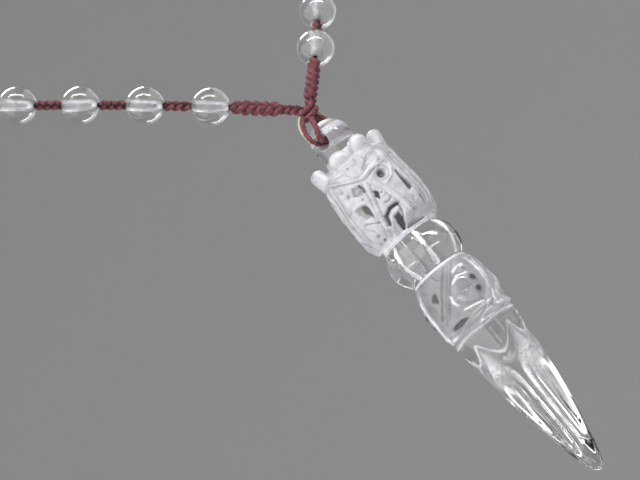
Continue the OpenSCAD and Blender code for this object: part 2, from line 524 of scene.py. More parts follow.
def polish_group():
    """Polished crystal: faint rub marks and the low waves that a felt wheel leaves."""

    def fill(group, given, place):
        waves = noise(group, place, given["Waves"], detail=2.0, roughness=0.4)
        long_grain = add(group, "ShaderNodeMapping", {"Vector": place, "Scale": (1.0, 1.0, 0.16)})
        marks = noise(group, long_grain.outputs[0], given["Marks"], detail=3.0, roughness=0.7)
        span = maths(group, "SUBTRACT", given["Rubbed"], given["Clean"])
        rubbed = stretched(group, marks, 0.56, 0.74)
        return maths(group, "MULTIPLY_ADD", rubbed, span, given["Clean"]), waves

    given = {"Waves": 350.0, "Marks": 2600.0, "Clean": 0.02, "Rubbed": 0.12}
    return shader_group("Hand polish", given, ("Roughness", "Height"), fill)


def fibre_group():
    """Cord fibre: fine threads with rubbed high places."""

    def fill(group, given, place):
        fibres = noise(group, place, given["Fibres"], detail=3.0, roughness=0.7)
        wear = noise(group, place, given["Wear"], detail=3.0, roughness=0.6)
        rub = maths(group, "MULTIPLY", stretched(group, wear, 0.4, 0.72), 0.5)
        shown = maths(group, "MULTIPLY_ADD", stretched(group, fibres, 0.35, 0.7), 0.4, rub)
        rough = maths(group, "MULTIPLY_ADD", fibres, 0.25, 0.62)
        return colour_mix(group, shown, given["Dye"], given["Rubbed"]), rough, fibres

    given = {
        "Dye": (0.2, 0.03, 0.04, 1), "Rubbed": (0.6, 0.25, 0.25, 1), "Fibres": 9000.0,
        "Wear": 1500.0,
    }
    return shader_group("Cord fibre", given, ("Colour", "Roughness", "Height"), fill)


def new_material(name, bump, height):
    """A material, its tree, its Principled shader and the Bump node that feeds the shader."""
    material = bpy.data.materials.new(name)
    material.use_nodes = True
    tree = material.node_tree
    shader = tree.nodes["Principled BSDF"]
    node = add(tree, "ShaderNodeBump", {"Strength": bump, "Distance": height})
    feed(tree, shader, {"Normal": node.outputs["Normal"]})
    return material, tree, shader, node


def group_node(tree, group, values):
    """A shader group placed in a material with its own values."""
    node = tree.nodes.new("ShaderNodeGroup")
    node.node_tree = group
    feed(tree, node, values)
    return node.outputs


def polished_crystal(name, waves, wave_height):
    """Clear polished rock crystal."""
    finish = settings("phurba_crystal")
    material, tree, shader, bump = new_material(name, bump=0.35, height=wave_height)
    values = {"Waves": waves, "Clean": finish.polish, "Rubbed": finish.polish * 3}
    polish = group_node(tree, polish_group(), values)
    frost = painted(tree, "frost")
    frosted = maths(tree, "MULTIPLY_ADD", frost, finish.ground, polish["Roughness"])
    feed(tree, bump, {"Height": polish["Height"]})
    feed(tree, shader, {
        "Base Color": (*finish.clear, 1), "Roughness": frosted, "IOR": finish.ior,
        "Transmission Weight": 1.0,
    })
    return material


def ground_crystal(name, clearness, clouds):
    """Rock crystal with a ground surface. Deep hollows carry painted shade, and some ridges are
    lilac.
    """
    finish = settings("phurba_crystal")
    material, tree, shader, bump = new_material(name, bump=0.4, height=0.05 * MM)
    ground = group_node(tree, ground_group(), {
        "White": (*finish.white, 1), "Shade": (*finish.shade, 1), "Clouds": clouds,
        "Least roughness": finish.ground * 0.6, "Most roughness": finish.ground * 1.15,
    })
    hollow = painted(tree, "hollow")
    # Painted shade: the deep hollows are mixed towards the deep colour, while proud bands get
    # their lilac tint.
    proud, hollow_shade = maths(tree, "MULTIPLY", hollow, -0.8), maths(tree, "MULTIPLY", hollow, 1.35)
    ridged = colour_mix(tree, proud, ground["Colour"], (*finish.ridge, 1))
    feed(tree, bump, {"Height": ground["Height"]})
    feed(tree, shader, {
        "Base Color": colour_mix(tree, hollow_shade, ridged, (*finish.deep, 1)),
        "Roughness": ground["Roughness"], "IOR": finish.ior, "Transmission Weight": clearness,
    })
    return material


def dyed_cord(name, dye, rubbed):
    """Tied cord, dyed and a little fuzzy, with painted shade in the gaps between its strands."""
    material, tree, shader, bump = new_material(name, bump=0.9, height=0.12 * MM)
    fibre = group_node(tree, fibre_group(), {"Dye": (*dye, 1), "Rubbed": (*rubbed, 1)})
    # Painted shade for the gaps: a darker copy of the dye.
    shaded = (*(0.15 * v for v in dye), 1)
    feed(tree, bump, {"Height": fibre["Height"]})
    feed(tree, shader, {
        "Base Color": colour_mix(tree, painted(tree, "gap"), fibre["Colour"], shaded),
        "Roughness": fibre["Roughness"], "Specular IOR Level": 0.25, "Sheen Weight": 0.08,
        "Sheen Roughness": 0.45,
    })
    return material


def veil_material():
    """The pale surface of a flaw inside the stone."""
    material, tree, shader, bump = new_material("Pale veil", bump=1.0, height=0.02 * MM)
    values = {"White": (0.95, 0.95, 0.96, 1), "Shade": (0.8, 0.8, 0.83, 1)}
    grain = group_node(tree, ground_group(), values)
    feed(tree, bump, {"Height": grain["Height"]})
    feed(tree, shader, {"Base Color": grain["Colour"], "Roughness": grain["Roughness"]})
    return material


def floor_material(colour):
    material, tree, shader, bump = new_material("Pale floor", bump=0.1, height=0.2 * MM)
    grain = noise(tree, place_on(tree), scale=900.0, detail=2.0, roughness=0.55)
    feed(tree, bump, {"Height": grain})
    feed(tree, shader, {"Base Color": (*colour, 1), "Roughness": 0.85})
    return material


# The beads
BEAD_COLUMNS = 40
BEAD_ARC_STEPS = 22
BEAD_BORE_ROWS = 5
BEAD_EASE = 0.07
BEAD_SEED = 6


def bead_mesh():
    """A round bead at the origin, drilled along Z, and which of its faces are bored."""
    s = settings("phurba_string")
    ball, bore = s.bead_d / 2 / MM, s.bore_d / 2 / MM
    low = np.arcsin((bore + BEAD_EASE) / ball)
    arc = np.linspace(low, pi - low, BEAD_ARC_STEPS + 1)
    outline = [(ball * sin(a), ball * cos(a)) for a in arc]
    mouth = ball * cos(low) - BEAD_EASE
    wall = [(bore, z) for z in np.linspace(-mouth, mouth, BEAD_BORE_ROWS)]
    rings = np.array(outline + wall)
    turn = full_turn(BEAD_COLUMNS)
    out, up = rings[:, :1], rings[:, 1:]
    points = np.stack([out * np.cos(turn), out * np.sin(turn), up + 0 * turn], -1).reshape(-1, 3)
    count = len(points)
    faces = [[i % count for i in face[::-1]] for face in quads(len(rings) + 1, BEAD_COLUMNS)]
    return points, faces, np.arange(len(faces)) >= BEAD_ARC_STEPS * BEAD_COLUMNS


def make_beads():
    s = settings("phurba_string")
    middles = bead_middles()
    ways = unit(np.gradient(middles, axis=0))
    points, faces, bored = bead_mesh()
    draw = np.random.default_rng(BEAD_SEED)
    parts = []
    for middle, way in zip(middles, ways):
        tilt, about = s.wobble * draw.uniform(0.2, 1.0), draw.uniform(0, 2 * pi)
        lean = np.array([sin(tilt) * cos(about), sin(tilt) * sin(about), cos(tilt)])
        turn = turned_to(turned_to(way) @ lean)
        parts.append(((points @ turn.T + middle) * MM, faces))
    materials = [
        polished_crystal("Polished bead crystal", waves=500.0, wave_height=0.05 * MM),
        ground_crystal("Ground drill hole", clearness=0.7, clouds=1400.0),
    ]
    piece = piece_from(
        "crystal_beads", *joined(parts), materials, "necklace", "bead_crystal", ["beads"]
    )
    marks = np.tile(bored.astype(np.int32), len(middles))
    piece.data.polygons.foreach_set("material_index", marks)


# The cord and its knots
STRAND_SIDES = 9
STRAND_STEP = 0.13
STRANDS_WIDE = 4.6
KNOT_TILT = 0.45
KNOT_DEPTH = 0.66
KNOT_BITE = 0.05
CORD_START = 0.5
THIN_TURN_SHARE = 0.78
LEAD_TURN_SHARE = 1.04
# Distances from the cord's line over which the painted shade of the gaps fades out, then the steps
# along the core and along that line
GAP_SHADE_HEIGHTS = (0.34, 0.78)
CORE_STEP, GAP_SHADE_STEP = 1.2, 0.05
CORD_SEED = 11


def braided_strands(centre, width, turn_length, hand, start_angle):
    """Three strands tied round a line. width and turn_length have a value for each point."""
    strand = settings("phurba_cord").strand_d / 2 / MM
    step = np.diff(runs_along(centre)) / turn_length[1:]
    angle = start_angle + hand * 2 * pi * np.concatenate([[0], np.cumsum(step)])
    across, rise = sides_along(centre, np.array([0.3, -0.2, 1.0]))
    tilt = KNOT_TILT * cos(3 * start_angle)
    side, front = cos(tilt) * across + sin(tilt) * rise, cos(tilt) * rise - sin(tilt) * across
    size = strand * np.clip(width / (STRANDS_WIDE * strand), 0.5, 1.0)
    reach = np.clip(width / 2 - size, 0.05, None)
    parts = []
    for third in range(3):
        a = angle + 2 * pi * third / 3
        to_side, to_front = reach * np.sin(a), KNOT_DEPTH * reach * np.sin(2 * a)
        path = centre + to_side[:, None] * side + to_front[:, None] * front
        swell = size * (1 + 0.08 * np.cos(2 * a))
        parts.append(swept(path, swell, STRAND_SIDES, plies=3, ply_depth=0.09, lay=2.1))
    return parts


def column(side, low, high, widths, turn_length, start_angle):
    """A column of knots between two runs of cord, with its width as rows of (run, width)."""
    run = np.linspace(low, high, max(round((high - low) / STRAND_STEP), 4) + 1)
    width = np.interp(run, *np.array(widths, float).T)
    ends = ramp(run, low, low + 0.45) * (1 - ramp(run, high - 0.45, high))
    width = width * (0.45 + 0.55 * ends)
    turns = np.interp(run, *np.array(turn_length, float).T)
    return braided_strands(on_loop(run, side), width, turns, side, start_angle)


def distances_from(places, points):
    """How far points are from the nearest of some places."""
    tree = KDTree(len(places))
    for i, place in enumerate(places):
        tree.insert(place, i)
    tree.balance()
    return np.array([tree.find(point)[2] for point in points])


def make_knotted_cord():
    c = settings("phurba_cord")
    ball = settings("phurba_string").bead_d / 2 / MM
    turn, widest, thin, lead = c.turn / MM, c.knot_w / MM, c.thin_w / MM, c.lead_w / MM
    tight, loose = THIN_TURN_SHARE * turn, LEAD_TURN_SHARE * turn
    beads = bead_runs()
    first = beads[0] - ball
    draw = np.random.default_rng(CORD_SEED)
    run = np.arange(CORD_START, beads[-1], CORE_STEP)
    line = np.concatenate([on_loop(run, -1), on_loop(run, 1)[::-1]])
    parts = [swept(line, c.core_d / 2 / MM, STRAND_SIDES, plies=2, ply_depth=0.12, lay=4.0)]
    for side, notch in ((-1, c.thin_left / MM), (1, c.thin_right / MM)):
        for low, high in zip(beads[:-1], beads[1:]):
            width, lay = widest * draw.uniform(0.76, 1.0), turn * draw.uniform(0.88, 1.02)
            ends = (low + ball - KNOT_BITE, high - ball + KNOT_BITE)
            widths, lays = ((low, width), (high, width)), ((low, lay), (high, lay))
            parts += column(side, *ends, widths, lays, draw.uniform(0, pi))
        widths = (
            (CORD_START, thin), (notch - 0.3, thin), (notch, 0.8 * thin), (notch + 0.5, lead),
            (first - 1.8, lead), (first, 0.75 * lead),
        )
        lays = ((CORD_START, tight), (notch, tight), (notch + 0.4, loose), (first, loose))
        parts += column(side, CORD_START, first + KNOT_BITE, widths, lays, draw.uniform(0, pi))
    points, faces = joined(parts)
    material = dyed_cord("Dark red cord", c.colour, c.worn)
    piece = piece_from(
        "knotted_cord", points * MM, faces, [material], "necklace", "cord", ["knots", "thread"]
    )
    # Painted shade: points near the line that the knots follow, deep in the gaps between the
    # strands, are painted darker.
    run = np.arange(CORD_START, beads[-1], GAP_SHADE_STEP)
    above = distances_from(np.concatenate([on_loop(run, -1), on_loop(run, 1)]), points)
    paint(piece.data, "gap", 1 - ramp(above, *GAP_SHADE_HEIGHTS))


# The bail loop in the pendant's own frame, in millimetres, with the hole along X and the near side
# at -X
LOOP_HANG = 6
INNER_STRAND = (
    (0.2, 0.3, 5.9), (-0.8, -0.25, 4.75), (-1.9, -0.55, 3.65), (-3.05, -0.95, 2.3),
    (-3.65, -0.85, 1.15), (-3.6, -0.5, 0.35), (-2.8, -0.42, 0.15), (0, -0.42, 0.12),
    (2.8, -0.3, 0.15), (3.75, -0.1, 0.5), (3.9, 0.1, 1.6), (3.0, 0.1, 3.1), (1.7, 0.1, 4.3),
    (0.4, 0.1, 5.6),
)
OUTER_STRAND = (
    (-0.3, 0.5, 6.1), (-1.6, 0.75, 5.2), (-3.0, 0.9, 3.7), (-3.95, 0.75, 2.3), (-4.3, 0.5, 1.2),
    (-3.85, 0.4, 0.3), (-2.8, 0.45, 0.1), (0, 0.45, 0.12), (2.8, 0.5, 0.1), (3.65, 0.75, 0.6),
    (3.7, 0.95, 1.7), (2.9, 1.0, 3.0), (1.6, 0.9, 4.3), (0.3, 0.4, 5.6),
)
PALE_STRAND = (
    (-0.6, 0.7, 6.1), (-1.8, 1.15, 5.5), (-2.9, 1.35, 4.4), (-3.6, 1.3, 3.2), (-4.0, 1.1, 2.1),
    (-4.1, 0.95, 1.1), (-3.6, 0.6, 0.6), (-2.6, 0.1, 0.62), (0, 0, 0.62), (2.6, 0, 0.5),
    (3.8, 0, 0.5), (4.4, 0, 1.2), (4.1, 0, 2.8), (3.3, 0, 4.1), (2.6, 0, 4.95), (1.5, 0, 5.5),
    (0.3, 0, 5.8),
)
KNOT_WRAP = (
    (-1.1, 0.5, 5.0), (-1.0, -0.75, 4.85), (0.1, -1.2, 5.3), (1.05, -0.6, 6.0), (0.9, 0.6, 6.5),
    (-0.2, 1.1, 6.4), (-1.15, 0.5, 6.1), (-0.8, -0.8, 6.0), (0.3, -1.1, 6.45), (1.1, -0.1, 6.2),
    (0.7, 0.9, 5.6), (-0.4, 1.1, 5.1),
)


def to_frame(points):
    """Points from the pendant's own frame, in millimetres, to the shared frame in metres."""
    return np.asarray(points, float) @ about_z(PENDANT_TURN).T * MM + np.array(HOLE)


def eased(corners, steps, closed=False):
    """A smooth line through corners."""
    corners = np.asarray(corners, float)
    n = len(corners)
    places = np.arange(n * steps + 1) / steps if closed else np.arange((n - 1) * steps + 1) / steps
    i = np.minimum(places.astype(int), n - 1 if closed else n - 2)
    t = (places - i)[:, None]
    around = [(i + k) % n if closed else np.clip(i + k, 0, n - 1) for k in (-1, 0, 1, 2)]
    a, b, c, d = (corners[j] for j in around)
    square, cube = 2 * a - 5 * b + 4 * c - d, 3 * b - a - 3 * c + d
    return 0.5 * (2 * b + (c - a) * t + square * t**2 + cube * t**3)


def make_bail_loop():
    c = settings("phurba_cord")
    strand = c.bail_d / 2 / MM
    lift = settings("phurba_string").hang / MM - LOOP_HANG
    inner, outer, thin = eased(INNER_STRAND, 10), eased(OUTER_STRAND, 10), eased(PALE_STRAND, 8)
    wrap = eased(np.array(KNOT_WRAP) + [0, 0, lift], 8, True)
    dyed = [
        swept(inner, strand * 1.05, STRAND_SIDES, plies=2, ply_depth=0.16, lay=1.9),
        swept(outer, strand * 0.86, STRAND_SIDES, plies=2, ply_depth=0.2, lay=1.7),
        swept(wrap, strand * 1.1, STRAND_SIDES, plies=3, ply_depth=0.1, lay=2.0),
    ]
    pale = [swept(thin, c.pale_d / 2 / MM, 8, plies=2, ply_depth=0.15, lay=1.3)]
    points, faces = joined(dyed + pale)
    materials = [
        dyed_cord("Dark red bail cord", c.colour, c.worn),
        dyed_cord("Pale bail strand", c.pale, [min(1.0, v * 1.35) for v in c.pale]),
    ]
    piece = piece_from(
        "bail_cord", to_frame(points), faces, materials, "necklace", "cord", ["bail_loop"]
    )
    marks = np.ones(len(faces), np.int32)
    marks[:sum(len(f) for _, f in dyed)] = 0
    piece.data.polygons.foreach_set("material_index", marks)


# The phurba: stations are depths below the middle of its hole, in millimetres
COLUMNS = 216
FACE_AZIMUTH = -60.0
SECTOR = 120
BULB_OFFSET = 14.0
BULB_R = 5.65
COLLAR_OFFSET = -53.3
COLLAR_LOBES = 8

# Crown knobs as rows of (azimuth, middle's radius, depth of the top, half width)
KNOBS = (
    (-141.7, 5.35, 2.45, 1.4), (-76.0, 4.9, 3.0, 1.95), (-26.0, 4.9, 2.5, 1.5),
    (38.3, 5.4, 2.45, 1.3), (98.0, 4.95, 2.7, 1.5), (158.0, 5.0, 2.6, 1.45),
)

DOME_R = 3.35
RIM = 5.4
HEAD_END = 19.78
COLLAR_END = 26.6
BULB_END = 36.7
RIM_GROOVE = 37.0
BLADE_START = 44.6
TIP_ROWS = 63.0
TIP_START = 63.5
TIP = 64.6

# Outlines as rows of (depth, radius)
CROWN_OUTLINE = (
    (0, 3.33), (1.6, 3.3), (3.2, 3.34), (4.0, 3.7), (4.6, 4.4), (5.0, 5.0), (5.4, 5.5),
)
HEAD_OUTLINE = (
    (5.4, 5.5), (5.7, 5.78), (6.7, 6.12), (9.35, 6.36), (12, 6.68), (13.7, 6.76), (15.4, 6.72),
    (16.7, 6.55), (17.3, 6.35), (18.9, 5.42), (19.78, 4.88),
)
COLLAR_OUTLINE = (
    (19.78, 4.88), (20.4, 5.35), (21.2, 5.8), (22.2, 6.08), (23.1, 6.16), (24.1, 6.04),
    (24.9, 5.72), (26, 4.98), (26.6, 4.62),
)
BULB_OUTLINE = (
    (26.6, 4.62), (27.1, 4.98), (27.9, 5.32), (29.6, 5.78), (31.3, 5.92), (33, 5.86),
    (34.6, 5.62), (36.7, 5.49),
)
LIP_OUTLINE = ((36.7, 5.49), (38.8, 5.38), (40.5, 5.08), (41.7, 4.86), (43, 4.98), (44.6, 5.08))

# The carving of one face as rows of (kind, points, half width or soft edge, cut, tone). Points are
# (across, depth below the hole), a negative cut stands proud, and the tone runs from lilac, -1, to
# dark, 1, the dark end being painted shade in the hollows
FACE_CARVING = (
    ("hollow", ((-3.4, 5.9), (-1.1, 5.8), (0.3, 7.3), (-0.25, 8.7), (-2.0, 7.2)), 0.3, 0.1, -0.9),
    ("line", ((-2.0, 6.3), (-1.4, 6.75), (-0.9, 6.8)), 0.22, 0.1, 0.3),
    ("hollow", ((0.5, 5.95), (2.5, 6.45), (0.55, 8.15)), 0.3, -0.16, 0.0),
    ("line", ((1.5, 6.5), (1.95, 7.4)), 0.36, 0.12, 0.3),
    ("hollow", ((1.75, 7.75), (2.7, 6.8), (3.7, 6.6), (4.1, 7.3), (2.95, 8.2)), 0.3, 0.16, -0.5),
    ("line", ((0.5, 8.2), (1.6, 7.7), (2.65, 6.55), (4.2, 6.3)), 0.16, 0.12, 0.3),
    ("line", ((0.5, 5.9), (0.45, 8.1)), 0.14, 0.1, 0.3),
    ("line", ((-4.8, 6.45), (-2.77, 7.98), (-0.5, 9.2), (2.5, 8.6), (3.2, 8.1)),
     0.42, -0.12, -0.25),
    ("line", ((-4.85, 6.8), (-2.8, 8.3), (-0.15, 9.75), (2.5, 8.95)), 0.2, 0.16, 0.3),
    ("line", ((-4.78, 6.15), (-2.74, 7.69), (-0.87, 8.69), (0.4, 8.6), (2.1, 7.9)),
     0.15, 0.12, 0.3),
    ("line", ((-3.7, 6.35), (-2.16, 6.95), (-1.5, 7.95)), 0.16, 0.12, 0.35),
    ("line", ((2.3, 9.15), (3.1, 8.7), (3.9, 8.75), (4.3, 9.4), (4.15, 10.4), (3.3, 11.5),
      (2.2, 11.95)),
     0.34, -0.16, 0.0),
    ("ring", ((2.5, 10.3), (1.15, 0.0)), 0.24, 0.12, 0.25),
    ("pit", ((2.45, 10.3),), 1.05, 0.66, 1.0),
    ("hollow", ((-2.45, 9.3), (-1.3, 9.95), (-1.15, 10.7), (-1.9, 11.35), (-2.9, 10.7)),
     0.3, 0.34, 0.35),
    ("line", ((-1.45, 9.75), (-1.2, 10.4), (-1.4, 11.0)), 0.3, 0.2, 0.9),
    ("line", ((-2.6, 9.5), (-3.0, 10.4), (-2.3, 11.2)), 0.2, 0.12, 0.5),
    ("pit", ((-2.1, 10.35),), 0.5, -0.22, -0.2),
    ("line", ((-0.45, 10.0), (-1.1, 12.95), (-1.8, 15.4), (-2.35, 18.0), (-2.7, 19.0)),
     0.5, -0.2, -0.8),
    ("line", ((0.3, 10.1), (1.6, 12.95), (2.3, 15.4), (2.75, 17.6)), 0.62, -0.2, -0.8),
    ("line", ((-0.88, 9.7), (-1.48, 12.9), (-2.25, 15.8), (-2.85, 18.5)), 0.18, 0.16, 0.35),
    ("line", ((0.0, 10.8), (-0.72, 13.0), (-1.28, 15.0), (-1.8, 17.3)), 0.18, 0.16, 0.4),
    ("line", ((0.75, 10.1), (2.05, 12.8), (2.9, 15.7), (3.25, 17.8)), 0.18, 0.14, 0.3),
    ("line", ((-0.05, 10.1), (1.2, 13.1), (1.75, 15.2), (2.2, 17.2)), 0.18, 0.16, 0.35),
    ("hollow", ((-0.1, 11.65), (0.4, 12.35), (-0.15, 13.45), (-0.5, 12.7)), 0.24, 0.5, 1.0),
    ("ring", ((0.62, 12.8), (0.4, 0.0)), 0.24, -0.16, 0.0),
    ("pit", ((0.62, 12.8),), 0.3, 0.14, 0.25),
    ("line", ((0.15, 14.3), (0.8, 14.45), (1.35, 14.1)), 0.3, 0.16, 0.4),
    ("line", ((-1.45, 17.35), (-1.1, 16.05), (0.1, 15.4), (1.45, 15.45)), 0.46, 0.46, 0.95),
    ("line", ((1.5, 15.5), (1.4, 16.7), (0.75, 17.8)), 0.26, 0.3, 0.6),
    ("line", ((1.0, 16.25), (-0.42, 16.5), (-1.0, 17.25), (-1.75, 19.1)), 0.38, -0.18, -0.1),
    ("hollow", ((-0.2, 16.85), (0.9, 16.6), (0.85, 17.7), (0.55, 18.6), (-0.1, 19.3),
      (-0.45, 19.1), (-0.45, 17.9)),
     0.26, 0.5, 0.9),
    ("hollow", ((0.7, 18.7), (2.6, 18.9), (3.2, 19.3), (0.3, 19.4)), 0.3, 0.1, 0.4),
    ("line", ((1.45, 17.35), (1.6, 18.4)), 0.62, -0.26, 0.0),
    ("line", ((0.5, 19.2), (1.7, 19.35), (3.3, 19.25)), 0.34, 0.16, 0.6),
    ("hollow", ((-4.2, 12.2), (-2.7, 12.35), (-2.35, 13.1), (-2.6, 14.9), (-3.9, 14.4),
      (-4.3, 13.3)),
     0.4, 0.4, 0.4),
    ("hollow", ((-3.5, 12.4), (-2.5, 12.6), (-2.35, 13.6), (-2.55, 15.2), (-3.0, 14.4),
      (-3.5, 13.6)),
     0.35, 0.2, 0.95),
    ("line", ((-4.35, 14.87), (-2.65, 16.0)), 0.2, 0.14, 0.5),
    ("pit", ((-2.6, 16.05),), 0.26, 0.14, 0.9),
    ("pit", ((-4.1, 8.7),), 0.5, 0.12, 0.35),
    ("pit", ((-3.76, 9.9),), 0.5, 0.16, 0.45),
    ("pit", ((-2.25, 11.75),), 0.4, 0.14, 0.45),
    ("line", ((-4.3, 15.9), (-3.9, 16.6)), 0.22, 0.1, 0.35),
    ("pit", ((-3.86, 17.44),), 0.45, 0.18, 0.5),
    ("pit", ((-3.48, 18.38),), 0.34, 0.22, 0.9),
    ("hollow", ((4.35, 11.0), (4.6, 11.05), (5.0, 14.5), (4.3, 14.95), (4.2, 14.3), (4.3, 13.0)),
     0.2, 0.6, 0.95),
    ("hollow", ((4.8, 16.2), (5.15, 16.2), (5.1, 18.2), (4.75, 18.2)), 0.24, 0.5, 0.7),
    ("line", ((3.3, 11.9), (3.7, 14.2), (4.1, 16.3)), 0.3, 0.1, -0.5),
)

# The carving of one third of the lower bulb, with distances across measured round the stone
BOSS = ((0.1, 32.0), (2.3, 2.2))
# As on the faces, a tone towards 1 is painted shade in the hollows.
BULB_CARVING = (
    ("line", ((0.3, 27.3), (-1.5, 29.4), (-3.3, 31.6), (-4.9, 33.4), (-7.5, 34.9)),
     0.62, -0.24, -0.1),
    ("line", ((0.3, 27.3), (-1.5, 29.4), (-3.3, 31.6), (-4.9, 33.4), (-7.5, 34.9)),
     0.16, 0.26, 0.3),
    ("line", ((-0.5, 27.2), (-2.3, 29.1), (-4.0, 31.2), (-5.6, 33.0), (-7.8, 34.2)),
     0.26, 0.2, 0.35),
    ("line", ((3.9, 27.9), (3.56, 31.1), (3.2, 33.4), (1.3, 35.5), (-0.4, 36.15), (-2.7, 36.4),
      (-5.4, 36.4), (-8.0, 36.1)),
     0.42, -0.22, -0.1),
    ("line", ((4.6, 28.3), (4.2, 31.1), (3.8, 33.7), (2.1, 36.1)), 0.3, 0.26, 0.5),
    ("boss", BOSS, 0.5, -0.34, 0.0),
    ("line", ((-1.9, 32.0), (2.1, 32.15)), 0.2, 0.14, 0.0),
    ("hollow", ((-0.4, 29.2), (1.35, 28.5), (2.3, 29.5), (1.1, 29.75)), 0.28, 0.18, 0.3),
    ("pit", ((-2.6, 32.8),), 0.7, -0.16, 0.0),
    ("pit", ((0.9, 28.6),), 0.4, -0.1, 0.0),
    ("line", ((-2.2, 34.45), (0.8, 34.95), (0.6, 35.45), (-1.9, 35.75)), 0.26, -0.18, 0.0),
    ("hollow", ((-2.4, 35.6), (-3.5, 35.1), (-5.35, 35.1), (-6.6, 35.6), (-4.2, 36.0)),
     0.3, 0.4, 0.85),
    ("hollow", ((-4.85, 29.5), (-4.1, 29.5), (-4.7, 31.3), (-5.7, 30.4)), 0.34, 0.4, 0.8),
    ("line", ((-3.3, 27.4), (-2.8, 28.3)), 0.34, 0.16, 0.5),
    ("line", ((-8.1, 31.9), (-7.2, 32.6), (-7.05, 33.3)), 0.24, 0.18, 0.5),
    ("line", ((-6.2, 31.6), (-6.8, 33.4)), 0.4, 0.14, 0.2),
    ("pit", ((1.75, 31.15),), 0.95, 0.0, 0.9),
    ("pit", ((1.4, 33.0),), 0.85, 0.0, 0.85),
)

# The edge of the bulb's polished swag, and its white lines and marks, each with half its width
RIM_LINE = ((1.4, 35.5), (2.0, 35.35), (2.9, 35.5), (2.95, 36.5), (5.9, 36.55))
SWAG = ((27, 4.6), (28.3, 4.4), (31.1, 4.1), (33.5, 3.7), (35.7, 1.8), (36.9, -0.6))
WHITE_MARKS = (
    (RIM_LINE, 0.24),
    (((-2.65, 31.7), (-2.8, 32.45), (-2.5, 33.3)), 0.22),
    (((-1.2, 30.15), (0.1, 29.65), (1.5, 29.95)), 0.15),
    (((0.1, 28.8), (1.9, 28.45)), 0.3),
    (((-2.1, 34.4), (0.9, 35.0)), 0.16),
)


# The lip's toothed edge as rows of (degrees from a face's middle, depth), and its nicks as rows of
# (degrees from a face's middle, top, bottom)
LIP_EDGE = (
    (0, 42.4), (10, 42.0), (22, 40.9), (31, 39.6), (35, 39.2), (39, 39.7), (50, 41.2), (60, 41.8),
)
LIP_NICKS = ((3, 38.5, 41.5), (20, 37.7, 40.4))
LIP_R = 5.2
NICK_CUT, NICK_EASE = 0.15, 0.5
LIP_STEP, LIP_SLOPE = 0.3, 0.7

# The blade: how far out its faces and ridges lie at one depth, how they close towards the tip, and
# the long hollow of each face with its half width as rows of (depth, half width)
BLADE_TOP, BLADE_LEVEL = 38.5, 40
FACE_OUT, FACE_TAPER = 3.9, radians(6.4)
RIDGE_OUT, RIDGE_LENGTH, RIDGE_SAG = 5.2, 24.6, 4.4
RIDGE_EASE = 0.28
FULLER = ((44.6, 2.6), (48, 2.38), (52.5, 2.06), (57.5, 1.66), (61, 1.2), (64.6, 0.7))
FULLER_ROUND, FULLER_TOP, FULLER_END = 3.9, (43.4, 48.5), 60.9
FULLER_BEND, FULLER_SLANT, FULLER_ASIDE, FULLER_DEEPER = 0.1, 0.85, 1.1, 1.08

# The head: the curve of a face and the degrees between which its carving fades, the hair between
# the faces, the proud line at each temple, and the incised lines at the brim and the foot
FACE_CURVE, FACE_BACK, FACE_EASE, FACE_SIDES = 10.5, 4.32, 0.25, (50, 55)
HAIR_LINES, HAIR_TOP, HAIR_FOOT, HAIR_CUT = (-0.6, 0.65), (6.3, 7.2), (17.0, 17.8), 0.18
TEMPLE, TEMPLE_RISE = 46.5, 0.14
BRIM_LINE, BRIM_CUT, FOOT_LINE, FOOT_CUT = 6.05, 0.14, 19.2, 0.12

# The collar: its panels, its grooves with half their width and where they begin and end, and the
# incised line in each panel
PANEL_FLATNESS = 0.55
GROOVE_CUT, GROOVE_NARROW, GROOVE_SWELL = 0.36, 0.14, 0.36
GROOVE_TOP, GROOVE_FOOT = (HEAD_END + 0.25, HEAD_END + 0.7), (26.0, 26.4)
INCISED_CUT, INCISED_BELOW, INCISED_WAVE = 0.1, 0.75, 0.12
INCISED_START, INCISED_END = (0.5, 3.0), (17.5, 21.0)

# The bulb's rims and the depths between which its carving begins and ends
RIM_LINE_RISE, RIM_GROOVE_CUT = 0.14, 0.14
BULB_RIM, BULB_RIM_RISE = 36.55, 0.1
BULB_CUT_START, BULB_CUT_END = (26.8, 27.4), (36.5, 36.7)

# The uneven surface with the depths where it begins and fades, the crown knobs and the cross hole
UNEVEN, UNEVEN_START, UNEVEN_FADE = 0.035, (5, 8), (41, 46)
KNOB_FOOT, KNOB_THICK, KNOB_FLARE = 6.3, 1.3, 0.45
KNOB_ROWS, KNOB_COLUMNS = 24, 36
BORE_R, BORE_REACH, MOUTH_START, MOUTH_FLARE = 1.1, 4.6, 2.3, 0.42
BORE_ROWS, BORE_COLUMNS = 47, 40

# The ground and white places: the crown and the bore, the head's white foot, the polished part of
# the boss with its line, the swag beside it, and the frost under the lip's teeth
GROUND_START, DOME_POLISH_R = 3.0, 3.7
BORED_HALF, BORED_R = 1.75, 3.28
FOOT_WHITE, HEAD_GROUND_END, BULB_GROUND_START = 18.85, HEAD_END + 0.12, COLLAR_END - 0.1
BOSS_MARGIN, BOSS_POLISH_END = 0.15, 0.75
BOSS_LINE, BOSS_LINE_SLOPE, BOSS_LINE_HALF = 32.05, 0.04, 0.14
SWAG_WIDTH, SWAG_START, SWAG_GROUND = 2.2, 30.2, 0.3
SWAG_LINE_OFF, SWAG_LINE_HALF, SWAG_LINE_START = 0.5, 0.26, 29
TOOTH_AT, TOOTH_EASE = 36, (7, 16)
FROST_START, FROST_REACH, FROST_END = 41.2, 1.5, 44.8
BLADE_FROST, BLADE_FROST_FADE = 0.28, (45, 51)


def from_face(azimuth, offset=0.0):
    """Degrees from the middle of the nearest face, or from a place beside it."""
    return wrapped(azimuth - FACE_AZIMUTH - offset, SECTOR)


